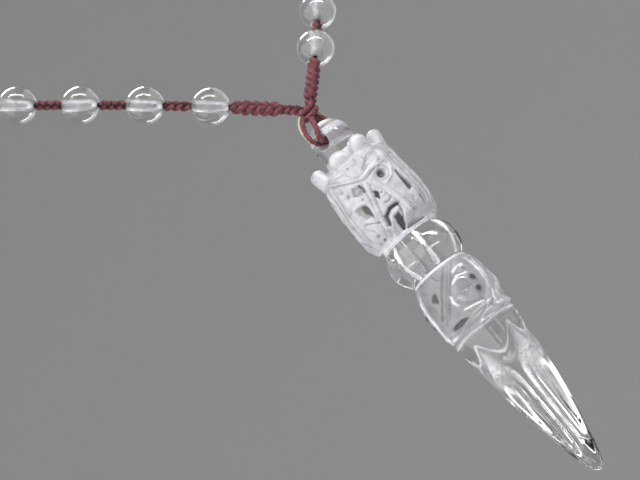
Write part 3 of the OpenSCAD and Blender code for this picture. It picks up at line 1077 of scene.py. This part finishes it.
def near_line(x, y, points):
    """Distance to a line through points."""
    best = np.full(x.shape, 1e9)
    for (ax, ay), (bx, by) in zip(points[:-1], points[1:]):
        ex, ey = bx - ax, by - ay
        t = np.clip(((x - ax) * ex + (y - ay) * ey) / (ex * ex + ey * ey), 0, 1)
        best = np.minimum(best, np.hypot(x - ax - t * ex, y - ay - t * ey))
    return best


def inside(x, y, corners):
    """Which places lie within a closed outline."""
    odd = np.zeros(x.shape, bool)
    for (ax, ay), (bx, by) in zip(corners, corners[1:] + corners[:1]):
        crosses = (ay > y) != (by > y)
        odd ^= crosses & (x < (bx - ax) * (y - ay) / (by - ay + 1e-12) + ax)
    return odd


def carved(table, x, y):
    """The cut depth of a carving at places (x, y), and its tone from -1, lilac, to 1, painted
    shade.
    """
    depth, dark, lilac = np.zeros(x.shape), np.zeros(x.shape), np.zeros(x.shape)
    for kind, points, width, cut, tone in table:
        if kind == "line":
            share = 1 - ramp(near_line(x, y, points), 0.1 * width, width)
        elif kind == "ring":
            (cx, cy), (r, _) = points
            share = 1 - ramp(np.abs(np.hypot(x - cx, y - cy) - r), 0.1 * width, width)
        elif kind == "pit":
            (cx, cy) = points[0]
            share = 1 - ramp(np.hypot(x - cx, y - cy), 0.15 * width, width)
        elif kind == "boss":
            (cx, cy), (a, b) = points
            share = np.sqrt(np.clip(1 - ((x - cx) / a) ** 2 - ((y - cy) / b) ** 2, 0, 1))
        else:
            edge = near_line(x, y, points + points[:1])
            share = ramp(np.where(inside(x, y, points), edge, -edge), -0.4 * width, 0.6 * width)
        depth += cut * share
        # The dark part of the tone is painted shade in the hollows.
        dark = np.maximum(dark, tone * share)
        lilac = np.maximum(lilac, -tone * share)
    return depth, dark - lilac * (1 - np.minimum(2 * dark, 1))


def uneven(azimuth, depth):
    """The low, hand-made unevenness of the stone, within plus and minus one."""
    a = np.radians(azimuth)
    waves = ((3, 0.9, 0.4), (5, -0.55, 1.7), (2, 0.37, 2.9), (7, 1.3, 5.1), (4, -1.9, 0.2))
    return sum(np.sin(n * a + k * depth + shift) for n, k, shift in waves) / len(waves)


def head_radius(azimuth, depth):
    """The three-faced head: its outline, flatter on each face, with the carving."""
    phi = from_face(azimuth)
    lean = np.radians(phi)
    aside = FACE_BACK * np.sin(lean)
    flat = np.sqrt(FACE_CURVE**2 - aside**2) - FACE_BACK * np.cos(lean)
    radius = smooth_min(through(HEAD_OUTLINE, depth), flat, FACE_EASE)
    cut, hollow = carved(FACE_CARVING, radius * np.sin(lean), depth)
    on_face = 1 - ramp(np.abs(phi), *FACE_SIDES)
    cut, hollow = cut * on_face, hollow * on_face
    hair = from_face(azimuth, SECTOR / 2) * np.radians(1) * radius
    tall = ramp(depth, *HAIR_TOP) * (1 - ramp(depth, *HAIR_FOOT))
    for k in HAIR_LINES:
        groove = 1 - ramp(np.abs(hair - k - 0.16 * np.sin(depth * 0.9 + k)), 0.03, 0.22)
        cut = cut + HAIR_CUT * groove * tall
        # The hair grooves get painted shade.
        hollow = np.maximum(hollow, 0.4 * groove * tall)
    temple = 1 - ramp(np.abs(np.abs(phi) - TEMPLE), 3.5, 6.5)
    cut = cut - TEMPLE_RISE * temple * tall * (1 - np.clip(hollow, 0, 1))
    foot = 1 - ramp(np.abs(depth - FOOT_LINE), 0.08, 0.3)
    brim = 1 - ramp(np.abs(depth - BRIM_LINE), 0.08, 0.26)
    return radius - cut - FOOT_CUT * foot - BRIM_CUT * brim, hollow


def collar_radius(azimuth, depth):
    """The polished collar: panels between eight ground grooves, each with an incised line."""
    sector = 360 / COLLAR_LOBES
    turn = wrapped(azimuth - COLLAR_OFFSET, sector)
    base = through(COLLAR_OUTLINE, depth)
    panel = np.radians(np.abs(turn) - sector / 2)
    flat = base * cos(radians(sector / 2) * PANEL_FLATNESS) / np.cos(panel * PANEL_FLATNESS)
    across = np.radians(turn) * base
    middle = (HEAD_END + COLLAR_END) / 2
    lens = np.abs(np.sin(pi * (depth - middle) / (0.5 * (COLLAR_END - HEAD_END) + 0.6))) ** 0.6
    half = GROOVE_NARROW + GROOVE_SWELL * lens
    groove = 1 - ramp(np.abs(across), 0.25 * half, half)
    groove = groove * ramp(depth, *GROOVE_TOP) * (1 - ramp(depth, *GROOVE_FOOT))
    wave = INCISED_WAVE * np.sin(azimuth * 0.11)
    line = 1 - ramp(np.abs(depth - middle - INCISED_BELOW + wave), 0.03, 0.16)
    line = line * ramp(turn, *INCISED_START) * (1 - ramp(turn, *INCISED_END))
    ground = np.maximum(np.where(groove > 0.12, 1.0, groove), line)
    return flat - GROOVE_CUT * groove - INCISED_CUT * line, ground


def bulb_radius(azimuth, depth):
    """The lower bulb: three polished bosses between bands that run down to a ground rim."""
    base = through(BULB_OUTLINE, depth)
    cut, hollow = np.zeros(depth.shape), np.zeros(depth.shape)
    for shift in (-SECTOR, 0, SECTOR):
        across = np.radians(from_face(azimuth, BULB_OFFSET) + shift) * BULB_R
        part, dark = carved(BULB_CARVING, across, depth)
        on_line = 1 - ramp(near_line(across, depth, RIM_LINE), 0.05, 0.3)
        part = part - RIM_LINE_RISE * on_line
        cut, hollow = cut + part, np.where(np.abs(dark) > np.abs(hollow), dark, hollow)
    ends = ramp(depth, *BULB_CUT_START) * (1 - ramp(depth, *BULB_CUT_END))
    rim = (1 - ramp(np.abs(depth - BULB_RIM), 0.1, 0.35)) * BULB_RIM_RISE
    return base - cut * ends + rim - rim_groove(depth), hollow * ends


def rim_groove(depth):
    """The groove between the bulb and the lip."""
    return RIM_GROOVE_CUT * (1 - ramp(np.abs(depth - RIM_GROOVE), 0.08, 0.32))


def lip_line(azimuth):
    """How deep the lip's toothed edge lies, for each azimuth."""
    return through(LIP_EDGE, np.abs(from_face(azimuth)))


def face_distance(depth):
    return FACE_OUT - (depth - BLADE_LEVEL) * tan(FACE_TAPER)


def ridge_distance(depth):
    arc_r = (RIDGE_LENGTH**2 + RIDGE_SAG**2) / (2 * RIDGE_SAG)
    return RIDGE_OUT - arc_r + np.sqrt(arc_r**2 - (depth - BLADE_LEVEL) ** 2)


def blade_radius(azimuth, depth):
    """The three-sided blade with a long tongue-shaped hollow in each face."""
    phi = np.radians(from_face(azimuth))
    face = face_distance(depth)
    x = face * np.tan(phi)
    half = through(FULLER, depth)
    arch = np.sqrt(np.clip(FULLER_ROUND**2 - np.minimum(np.abs(x), half) ** 2, 0, None))
    bowl = arch - np.sqrt(FULLER_ROUND**2 - half**2)
    top = ramp(depth - FULLER_BEND * x * x, *FULLER_TOP)
    end = FULLER_END - FULLER_SLANT * (x + FULLER_ASIDE)
    bowl = bowl * top * (1 - ramp(depth, end - 0.25, end + 0.5)) * FULLER_DEEPER
    radius = (face - bowl) / np.cos(phi)
    radius = smooth_min(radius, ridge_distance(depth), RIDGE_EASE)
    tip = np.sqrt(np.clip(1 - ((depth - TIP_START) / (TIP - TIP_START)).clip(0, 1) ** 2, 0, 1))
    return radius * tip


def stone_radius(azimuth, depth):
    """Radius of the carved stone at azimuths in degrees and depths, and the tone of its carving,
    with painted shade in the hollows.
    """
    dome = np.sqrt(np.clip(DOME_R**2 - np.minimum(depth, 0) ** 2, 0, None))
    crown = np.where(depth < 0, dome, through(CROWN_OUTLINE, np.clip(depth, 0, RIM)))
    head, head_hollow = head_radius(azimuth, np.clip(depth, RIM, HEAD_END))
    collar, _ = collar_radius(azimuth, np.clip(depth, HEAD_END, COLLAR_END))
    bulb, bulb_hollow = bulb_radius(azimuth, np.clip(depth, COLLAR_END, BULB_END + 0.8))
    lip = through(LIP_OUTLINE, np.clip(depth, BULB_END, BLADE_START))
    lip = lip - rim_groove(depth)
    turn = from_face(azimuth)
    for place, low, high in LIP_NICKS:
        nick = 1 - ramp(np.abs(np.radians(turn - place) * LIP_R), 0.04, 0.2)
        span = ramp(depth, low, low + NICK_EASE) * (1 - ramp(depth, high - NICK_EASE, high))
        lip = lip - NICK_CUT * nick * span
    blade = blade_radius(azimuth, np.clip(depth, BLADE_TOP, TIP))
    edge = lip_line(azimuth)
    step, slope = ramp(depth, edge, edge + 0.25), ramp(depth, edge + 0.15, BLADE_START)
    root = lip + (np.minimum(blade, lip) - lip) * (step * LIP_STEP + slope * LIP_SLOPE)
    root = np.where(depth > BLADE_START, blade, root)
    parts = [depth < end for end in (RIM, HEAD_END, COLLAR_END, BULB_END)]
    radius = np.select(parts, [crown, head, collar, bulb], root)
    none = 0 * depth
    hollow = np.select(parts, [none, head_hollow, none, bulb_hollow], none)
    low = ramp(depth, *UNEVEN_START) * (1 - 0.85 * ramp(depth, *UNEVEN_FADE))
    return radius + UNEVEN * low * uneven(azimuth, depth), hollow


# The rows of the stone's grid as (top, bottom, step)
ROW_BANDS = (
    (RIM, HEAD_END, 0.108), (HEAD_END, COLLAR_END, 0.14), (COLLAR_END, BULB_END, 0.125),
    (BULB_END, 43.0, 0.14), (43.0, 46.6, 0.2), (46.6, 59.6, 0.5), (59.6, TIP_ROWS, 0.24),
)


def depth_rows():
    """The depths of the grid's rows, closer where the carving is finer."""
    fall = np.linspace(0, 1, 13)[1:-1]
    rows = [-DOME_R * np.cos(fall * pi / 2)]
    rows += [np.linspace(0, 2.4, 6)[:-1], np.linspace(2.4, RIM, 15)[:-1]]
    for low, high, step in ROW_BANDS:
        rows.append(np.linspace(low, high, round((high - low) / step) + 1)[:-1])
    close = np.linspace(0, pi / 2, 9)[:-1]
    rows.append(TIP_ROWS + (TIP - TIP_ROWS) * np.sin(close))
    return np.concatenate(rows)


def column_azimuths(depth):
    """Azimuths of the columns in each row. On the blade they gather on the hollows' edges."""
    place = np.arange(COLUMNS) * 360 / COLUMNS - 180
    phi = from_face(place)
    middle = place - phi
    half_sector, bend = SECTOR / 2, 0.5
    share = np.abs(phi) / half_sector
    edge = np.degrees(np.arctan(through(FULLER, depth) / face_distance(depth)))[:, None]
    x_share = np.clip(share / bend, 0, 1)[None] * np.tan(np.radians(edge))
    within = np.degrees(np.arctan(x_share))
    beyond = edge + (half_sector - edge) * np.clip((share - bend) / (1 - bend), 0, 1)[None]
    bent = np.where(share[None] <= bend, within, beyond) * np.sign(phi)[None]
    blend = ramp(depth, 42.5, BLADE_START)[:, None]
    return middle[None] + phi[None] * (1 - blend) + bent * blend


def stone_mesh():
    """The carved stone as one closed grid, in the pendant's own frame."""
    depth = depth_rows()
    azimuth = column_azimuths(depth)
    deep = np.repeat(depth[:, None], COLUMNS, 1)
    radius, _ = stone_radius(azimuth, deep)
    a = np.radians(azimuth)
    grid = np.stack([radius * np.sin(a), -radius * np.cos(a), -deep], -1)
    return turned_over(*capped(grid, (0, 0, DOME_R), (0, 0, -TIP)))


def knob_mesh(azimuth, out, top, half):
    """A crown knob: a ball that runs down to the head's rim as a wider petal."""
    t = np.linspace(0, 1, KNOB_ROWS)
    depth = top + (KNOB_FOOT - top) * t**1.35
    ball = np.sqrt(np.clip(1 - (1 - np.minimum((depth - top) / half, 1)) ** 2, 0, 1))
    width = half * ball + KNOB_FLARE * ramp(t, 0.3, 1)
    thick = KNOB_THICK * ball
    middle = out - 0.5 * ramp(t, 0.3, 1)
    turn = full_turn(KNOB_COLUMNS)
    x = width[:, None] * np.sin(turn) * (1 - 0.1 * np.cos(turn))
    y = -(middle[:, None] + thick[:, None] * np.cos(turn))
    grid = np.stack([x, y, -np.repeat(depth[:, None], KNOB_COLUMNS, 1)], -1)[1:]
    points, faces = capped(grid, (0, -out, -top), (0, -middle[-1], -KNOB_FOOT - 0.1))
    return points @ about_z(radians(azimuth)).T, faces


def bore_mesh():
    """The tool that drills the dome along X, wider at its mouths."""
    turn = full_turn(BORE_COLUMNS)
    reach = np.linspace(-BORE_REACH, BORE_REACH, BORE_ROWS)
    out = BORE_R + MOUTH_FLARE * np.clip(np.abs(reach) - MOUTH_START, 0, 1.6)[:, None] ** 2
    grid = np.stack([reach[:, None] + 0 * turn, out * np.cos(turn), out * np.sin(turn)], -1)
    return turned_over(*capped(grid, (reach[0], 0, 0), (reach[-1], 0, 0)))


def outward(points, faces):
    """A scratch mesh object whose faces all look outward."""
    mesh = bpy.data.meshes.new("cutter")
    mesh.from_pydata(np.asarray(points).tolist(), [], faces)
    tool = bpy.data.objects.new("cutter", mesh)
    bpy.context.scene.collection.objects.link(tool)
    mesh.calc_loop_triangles()
    triangles = np.array([t.vertices[:] for t in mesh.loop_triangles])
    corners = np.asarray(points, float)[triangles]
    if np.einsum("ij,ij->i", corners[:, 0], np.cross(corners[:, 1], corners[:, 2])).sum() < 0:
        mesh.flip_normals()
    return tool


def combine(piece, tool, operation):
    """Applies a boolean of one tool to the piece, and removes the tool."""
    change = piece.modifiers.new("combine", "BOOLEAN")
    change.operation = operation
    change.solver = "MANIFOLD"
    change.object = tool
    bpy.context.view_layer.update()
    graph = bpy.context.evaluated_depsgraph_get()
    done = bpy.data.meshes.new_from_object(piece.evaluated_get(graph))
    piece.modifiers.clear()
    piece.data = done
    bpy.data.objects.remove(tool)


def ground_share(azimuth, depth, radius):
    """Where the stone is ground (1) or polished (0), and where the grinding is whitest."""
    _, grooves = collar_radius(azimuth, np.clip(depth, HEAD_END, COLLAR_END))
    share = np.where((depth > GROUND_START) & (depth <= HEAD_GROUND_END), 1.0, 0.0)
    in_collar = (depth > HEAD_GROUND_END) & (depth < BULB_GROUND_START)
    share = np.where(in_collar, grooves, share)
    white = in_collar & (grooves > 0.5)
    beside = np.radians(from_face(azimuth, BULB_OFFSET)) * BULB_R
    (boss_x, boss_depth), (half_width, half_height) = BOSS
    boss = 1 - ((beside - boss_x) / (half_width - BOSS_MARGIN)) ** 2
    boss = boss - ((depth - boss_depth) / (half_height - BOSS_MARGIN)) ** 2
    lined = np.abs(depth - BOSS_LINE - BOSS_LINE_SLOPE * beside) < BOSS_LINE_HALF
    in_bulb = (depth >= BULB_GROUND_START) & (depth < RIM_GROOVE + 0.25)
    bulb = np.where((boss > 0) & ~lined & (beside < BOSS_POLISH_END), 0.0, 1.0)
    swag = through(SWAG, np.clip(depth, SWAG[0][0], SWAG[-1][0]))
    in_swag = (beside > swag) & (beside < swag + SWAG_WIDTH) & (depth > SWAG_START)
    bulb = np.where(in_swag, SWAG_GROUND, bulb)
    share = np.where(in_bulb, bulb, share)
    for points, half in WHITE_MARKS:
        white |= in_bulb & (near_line(beside, depth, points) < half)
    white |= np.abs(depth - COLLAR_END - 0.05) < 0.15
    by_swag = np.abs(beside - swag + SWAG_LINE_OFF) < SWAG_LINE_HALF
    white |= in_bulb & by_swag & (depth > SWAG_LINE_START)
    white |= (depth > FOOT_WHITE) & (depth < HEAD_GROUND_END)
    sector = from_face(azimuth)
    for place, low, high in LIP_NICKS:
        nick = (np.abs(np.radians(sector - place) * LIP_R) < 0.15) & (depth > low) & (depth < high)
        share = np.where(nick, 1.0, share)
    edge = lip_line(azimuth)
    tooth = 1 - ramp(np.abs(np.abs(sector) - TOOTH_AT), *TOOTH_EASE)
    frosted = 1 - ramp(depth, FROST_START + FROST_REACH * tooth, FROST_END)
    frosted = frosted * (0.45 + 0.55 * tooth)
    faint = BLADE_FROST * (1 - ramp(depth, *BLADE_FROST_FADE))
    share = np.where(depth > edge, np.maximum(frosted, faint), share)
    white |= (depth > edge - 0.05) & (depth < edge + 0.4)
    share = np.where((depth < GROUND_START) & (radius > DOME_POLISH_R), 1.0, share)
    bored = (np.abs(depth) < BORED_HALF) & (radius < BORED_R)
    return np.where(bored, 1.0, share), white


def make_phurba():
    materials = [
        polished_crystal("Polished pendant crystal", waves=260.0, wave_height=0.03 * MM),
        ground_crystal("Ground crystal of the head", clearness=0.62, clouds=650.0),
        ground_crystal("White ground crystal", clearness=0.35, clouds=900.0),
        ground_crystal("Ground crystal of the bulb", clearness=0.93, clouds=500.0),
    ]
    piece = outward(*stone_mesh())
    for knob in KNOBS:
        combine(piece, outward(*knob_mesh(*knob)), "UNION")
    combine(piece, outward(*bore_mesh()), "DIFFERENCE")
    mesh = piece.data
    if len(mesh.vertices) < COLUMNS:
        raise RuntimeError("the carved stone came out empty")
    local = np.zeros(len(mesh.vertices) * 3)
    mesh.vertices.foreach_get("co", local)
    local = local.reshape(-1, 3)
    azimuth, depth, radius = cylindrical(local)
    _, hollow = stone_radius(azimuth, depth)
    frost, _ = ground_share(azimuth, depth, radius)
    # The tone of the carving: lilac on proud bands and painted shade in the hollows.
    paint(mesh, "hollow", hollow)
    paint(mesh, "frost", np.where(frost > 0.5, 0, 2 * frost))
    middles = np.zeros(len(mesh.polygons) * 3)
    mesh.polygons.foreach_get("center", middles)
    azimuth, depth, radius = cylindrical(middles.reshape(-1, 3))
    share, white = ground_share(azimuth, depth, radius)
    finish = np.where(share > 0.5, np.where(depth < BULB_GROUND_START, 1, 3), 0)
    finish = np.where(white, 2, finish)
    mesh.materials.clear()
    for material in materials:
        mesh.materials.append(material)
    mesh.polygons.foreach_set("material_index", finish.astype(np.int32))
    mesh.polygons.foreach_set("use_smooth", [True] * len(mesh.polygons))
    mesh.vertices.foreach_set("co", to_frame(local).ravel())
    mesh.update()
    piece.name = mesh.name = "crystal_phurba"
    dress(piece, "pendant", ["phurba"])


def cylindrical(points):
    """Azimuth in degrees, depth and radius of points in the pendant's own frame."""
    x, y, z = points.T
    return np.degrees(np.arctan2(x, -y)), -z, np.hypot(x, y)


# Flecks inside the blade as rows of (across, depth, size), and how far they lie to its front
FLECKS = ((-3.05, 50.6, 0.55), (-2.8, 51.9, 0.5), (-2.35, 54.9, 0.4), (-1.7, 59.3, 0.3))
FLECK_FRONT = 0.9
VEIL_SEED = 3


def make_veils():
    """Small flaws inside the blade: flecks near one edge and a wisp across the middle."""
    draw = np.random.default_rng(VEIL_SEED)
    parts = []
    wisp = [(x, 56.3 + 0.25 * sin(3 * x), 0.24) for x in np.linspace(-0.9, 1.7, 9)]
    for across, depth, size in (*FLECKS, *wisp):
        for _ in range(4):
            way = unit(draw.normal(size=3))
            middle = np.array([across, -FLECK_FRONT, -depth]) + draw.normal(scale=0.12, size=3)
            ends = np.array([middle - way * size / 2, middle, middle + way * size / 2])
            parts.append(swept(ends, [0.012, 0.05, 0.012], 6, (0.3, 0.5, 0.8)))
    points, faces = joined(parts)
    points = points @ about_z(radians(FACE_AZIMUTH)).T
    place = to_frame(points)
    piece_from("crystal_veils", place, faces, [veil_material()], "pendant", "pendant_crystal")


# The stage, in metres
FLOOR_R, BEND_R, WALL_H = 2.2, 0.9, 7.0
ROOM_COLOUR, ROOM_STRENGTH = (0.8, 0.82, 0.85, 1), 0.65
FRAME_W = 36
CLIP = (0.01, 20)
LIT_BELOW_HOLE = 20 * MM

# Lamps as rows of (name, place, long side, size, power, colour). Place and long side are measured
# along the picture's right, its top and towards the camera
LAMPS = (
    ("overhead", (-0.1, 0.5, 0.2), (1, 0, 0), (0.8, 0.08), 4.5, (0.98, 0.98, 1)),
    ("front", (-0.6, -0.15, 0.5), (0.779, 0.627, 0), (1.5, 1.5), 16, (0.98, 0.98, 1)),
    ("low", (0.3, -0.5, -0.35), (0.5, 0.3, 0), (0.7, 0.1), 3, (1, 1, 1)),
)


def sweep_mesh(drop):
    """A round floor that curves up into a wall all round."""
    columns = 96
    rings = [(0.02, -drop)] + [(r, -drop) for r in np.linspace(0.4, FLOOR_R, 5)]
    for a in np.linspace(0.1, pi / 2, 14):
        rings.append((FLOOR_R + BEND_R * sin(a), -drop + BEND_R * (1 - cos(a))))
    rings += [(FLOOR_R + BEND_R, -drop + BEND_R + h) for h in np.linspace(0.3, WALL_H, 4)]
    middle = np.array([HOLE.x, HOLE.y, 0])
    turn = full_turn(columns)
    points = [middle + [r * cos(a), r * sin(a), z] for r, z in rings for a in turn]
    return points, quads(len(rings), columns) + [list(range(columns))[::-1]]


def turned_and_placed(side, top, back, place):
    """The matrix of an object whose X, Y and Z axes are given."""
    return Matrix([*zip(side, top, back, place), (0, 0, 0, 1)])


def area_light(name, place, aim, along, size, power, colour):
    """A soft light that looks at a point, with its long side along a direction."""
    data = bpy.data.lights.new(name, "AREA")
    data.shape = "RECTANGLE"
    data.size, data.size_y = size
    data.energy, data.color = power, colour
    lamp = bpy.data.objects.new(name, data)
    behind = (place - aim).normalized()
    side = (along - behind * along.dot(behind)).normalized()
    lamp.matrix_world = turned_and_placed(side, behind.cross(side), behind, place)
    lamp.visible_camera = False
    bpy.context.scene.collection.objects.link(lamp)


def view_axes():
    """The picture's right and top, the way back to the camera, and the camera's level right."""
    v = settings("phurba_view")
    level = Vector((cos(v.azimuth), sin(v.azimuth), 0))
    flat = cos(v.elevation)
    back = Vector((sin(v.azimuth) * flat, -cos(v.azimuth) * flat, sin(v.elevation)))
    up = back.cross(level)
    right, top = level * cos(v.roll) - up * sin(v.roll), level * sin(v.roll) + up * cos(v.roll)
    return right, top, back, level


def make_camera():
    v = settings("phurba_view")
    right, top, back, level = view_axes()
    aim = HOLE - Vector((0, 0, v.aim_down)) - level * v.aim_side
    data = bpy.data.cameras.new("camera")
    data.lens, data.sensor_width, data.sensor_fit = v.lens, FRAME_W, "HORIZONTAL"
    data.clip_start, data.clip_end = CLIP
    camera = bpy.data.objects.new("camera", data)
    camera.matrix_world = turned_and_placed(right, top, back, aim + back * v.distance)
    bpy.context.scene.collection.objects.link(camera)
    bpy.context.scene.camera = camera


def make_floor():
    v = settings("phurba_view")
    mesh = bpy.data.meshes.new("floor")
    points, faces = sweep_mesh(v.floor_drop)
    mesh.from_pydata([tuple(p) for p in points], [], faces)
    mesh.polygons.foreach_set("use_smooth", [True] * len(mesh.polygons))
    mesh.materials.append(floor_material(v.floor_colour))
    floor = bpy.data.objects.new("floor", mesh)
    bpy.context.scene.collection.objects.link(floor)


def make_stage():
    scene = bpy.context.scene
    make_floor()
    world = bpy.data.worlds.new("soft room")
    world.use_nodes = True
    background = world.node_tree.nodes["Background"]
    background.inputs["Color"].default_value = ROOM_COLOUR
    background.inputs["Strength"].default_value = ROOM_STRENGTH
    scene.world = world
    right, top, back, _ = view_axes()
    aim = HOLE - Vector((0, 0, LIT_BELOW_HOLE))
    for name, place, along, size, power, colour in LAMPS:
        place, along = (right * x + top * y + back * z for x, y, z in (place, along))
        area_light(name, aim + place, aim, along, size, power, colour)
    scene.view_settings.view_transform = "Standard"
    make_camera()


# Operators
class MakeStage(bpy.types.Operator):
    """Set the pale floor, the soft lights and the camera"""

    bl_idname = "phurba.make_stage"
    bl_label = "Stage"

    def execute(self, context):
        make_stage()
        return {"FINISHED"}


class MakeBeads(bpy.types.Operator):
    """String the round crystal beads"""

    bl_idname = "phurba.make_beads"
    bl_label = "Beads"

    def execute(self, context):
        make_beads()
        return {"FINISHED"}


class MakeCord(bpy.types.Operator):
    """Tie the knotted cord between the beads"""

    bl_idname = "phurba.make_cord"
    bl_label = "Knotted cord"

    def execute(self, context):
        make_knotted_cord()
        return {"FINISHED"}


class MakeBail(bpy.types.Operator):
    """Tie the junction knot and the bail loop"""

    bl_idname = "phurba.make_bail"
    bl_label = "Bail loop"

    def execute(self, context):
        make_bail_loop()
        return {"FINISHED"}


class MakePhurba(bpy.types.Operator):
    """Carve the phurba from one piece of crystal"""

    bl_idname = "phurba.make_phurba"
    bl_label = "Phurba"

    def execute(self, context):
        make_phurba()
        return {"FINISHED"}


class MakeVeils(bpy.types.Operator):
    """Add the small flaws inside the blade"""

    bl_idname = "phurba.make_veils"
    bl_label = "Veils"

    def execute(self, context):
        make_veils()
        return {"FINISHED"}


OPERATORS = (MakeStage, MakeBeads, MakeCord, MakeBail, MakePhurba, MakeVeils)


class PhurbaPanel(bpy.types.Panel):
    """The pieces of the pendant and its necklace"""

    bl_idname = "VIEW3D_PT_phurba"
    bl_label = "Phurba pendant"
    bl_space_type = "VIEW_3D"
    bl_region_type = "UI"
    bl_category = "Phurba"

    def draw(self, context):
        for operator in OPERATORS:
            self.layout.operator(operator.bl_idname)
        for name, group in GROUPS.items():
            box = self.layout.box()
            for key in group.__annotations__:
                box.prop(getattr(context.scene, name), key)


CLASSES = (*GROUPS.values(), *OPERATORS, PhurbaPanel)


def register():
    for each in CLASSES:
        bpy.utils.register_class(each)
    for name, group in GROUPS.items():
        setattr(bpy.types.Scene, name, PointerProperty(type=group))


def unregister():
    for name in GROUPS:
        delattr(bpy.types.Scene, name)
    for each in reversed(CLASSES):
        bpy.utils.unregister_class(each)


def corners(box):
    return [[float(v) for v in corner] for corner in box]


def main():
    register()
    bpy.ops.phurba.make_stage()
    bpy.ops.phurba.make_beads()
    bpy.ops.phurba.make_cord()
    bpy.ops.phurba.make_bail()
    bpy.ops.phurba.make_phurba()
    bpy.ops.phurba.make_veils()


if __name__ == "__main__":
    main()
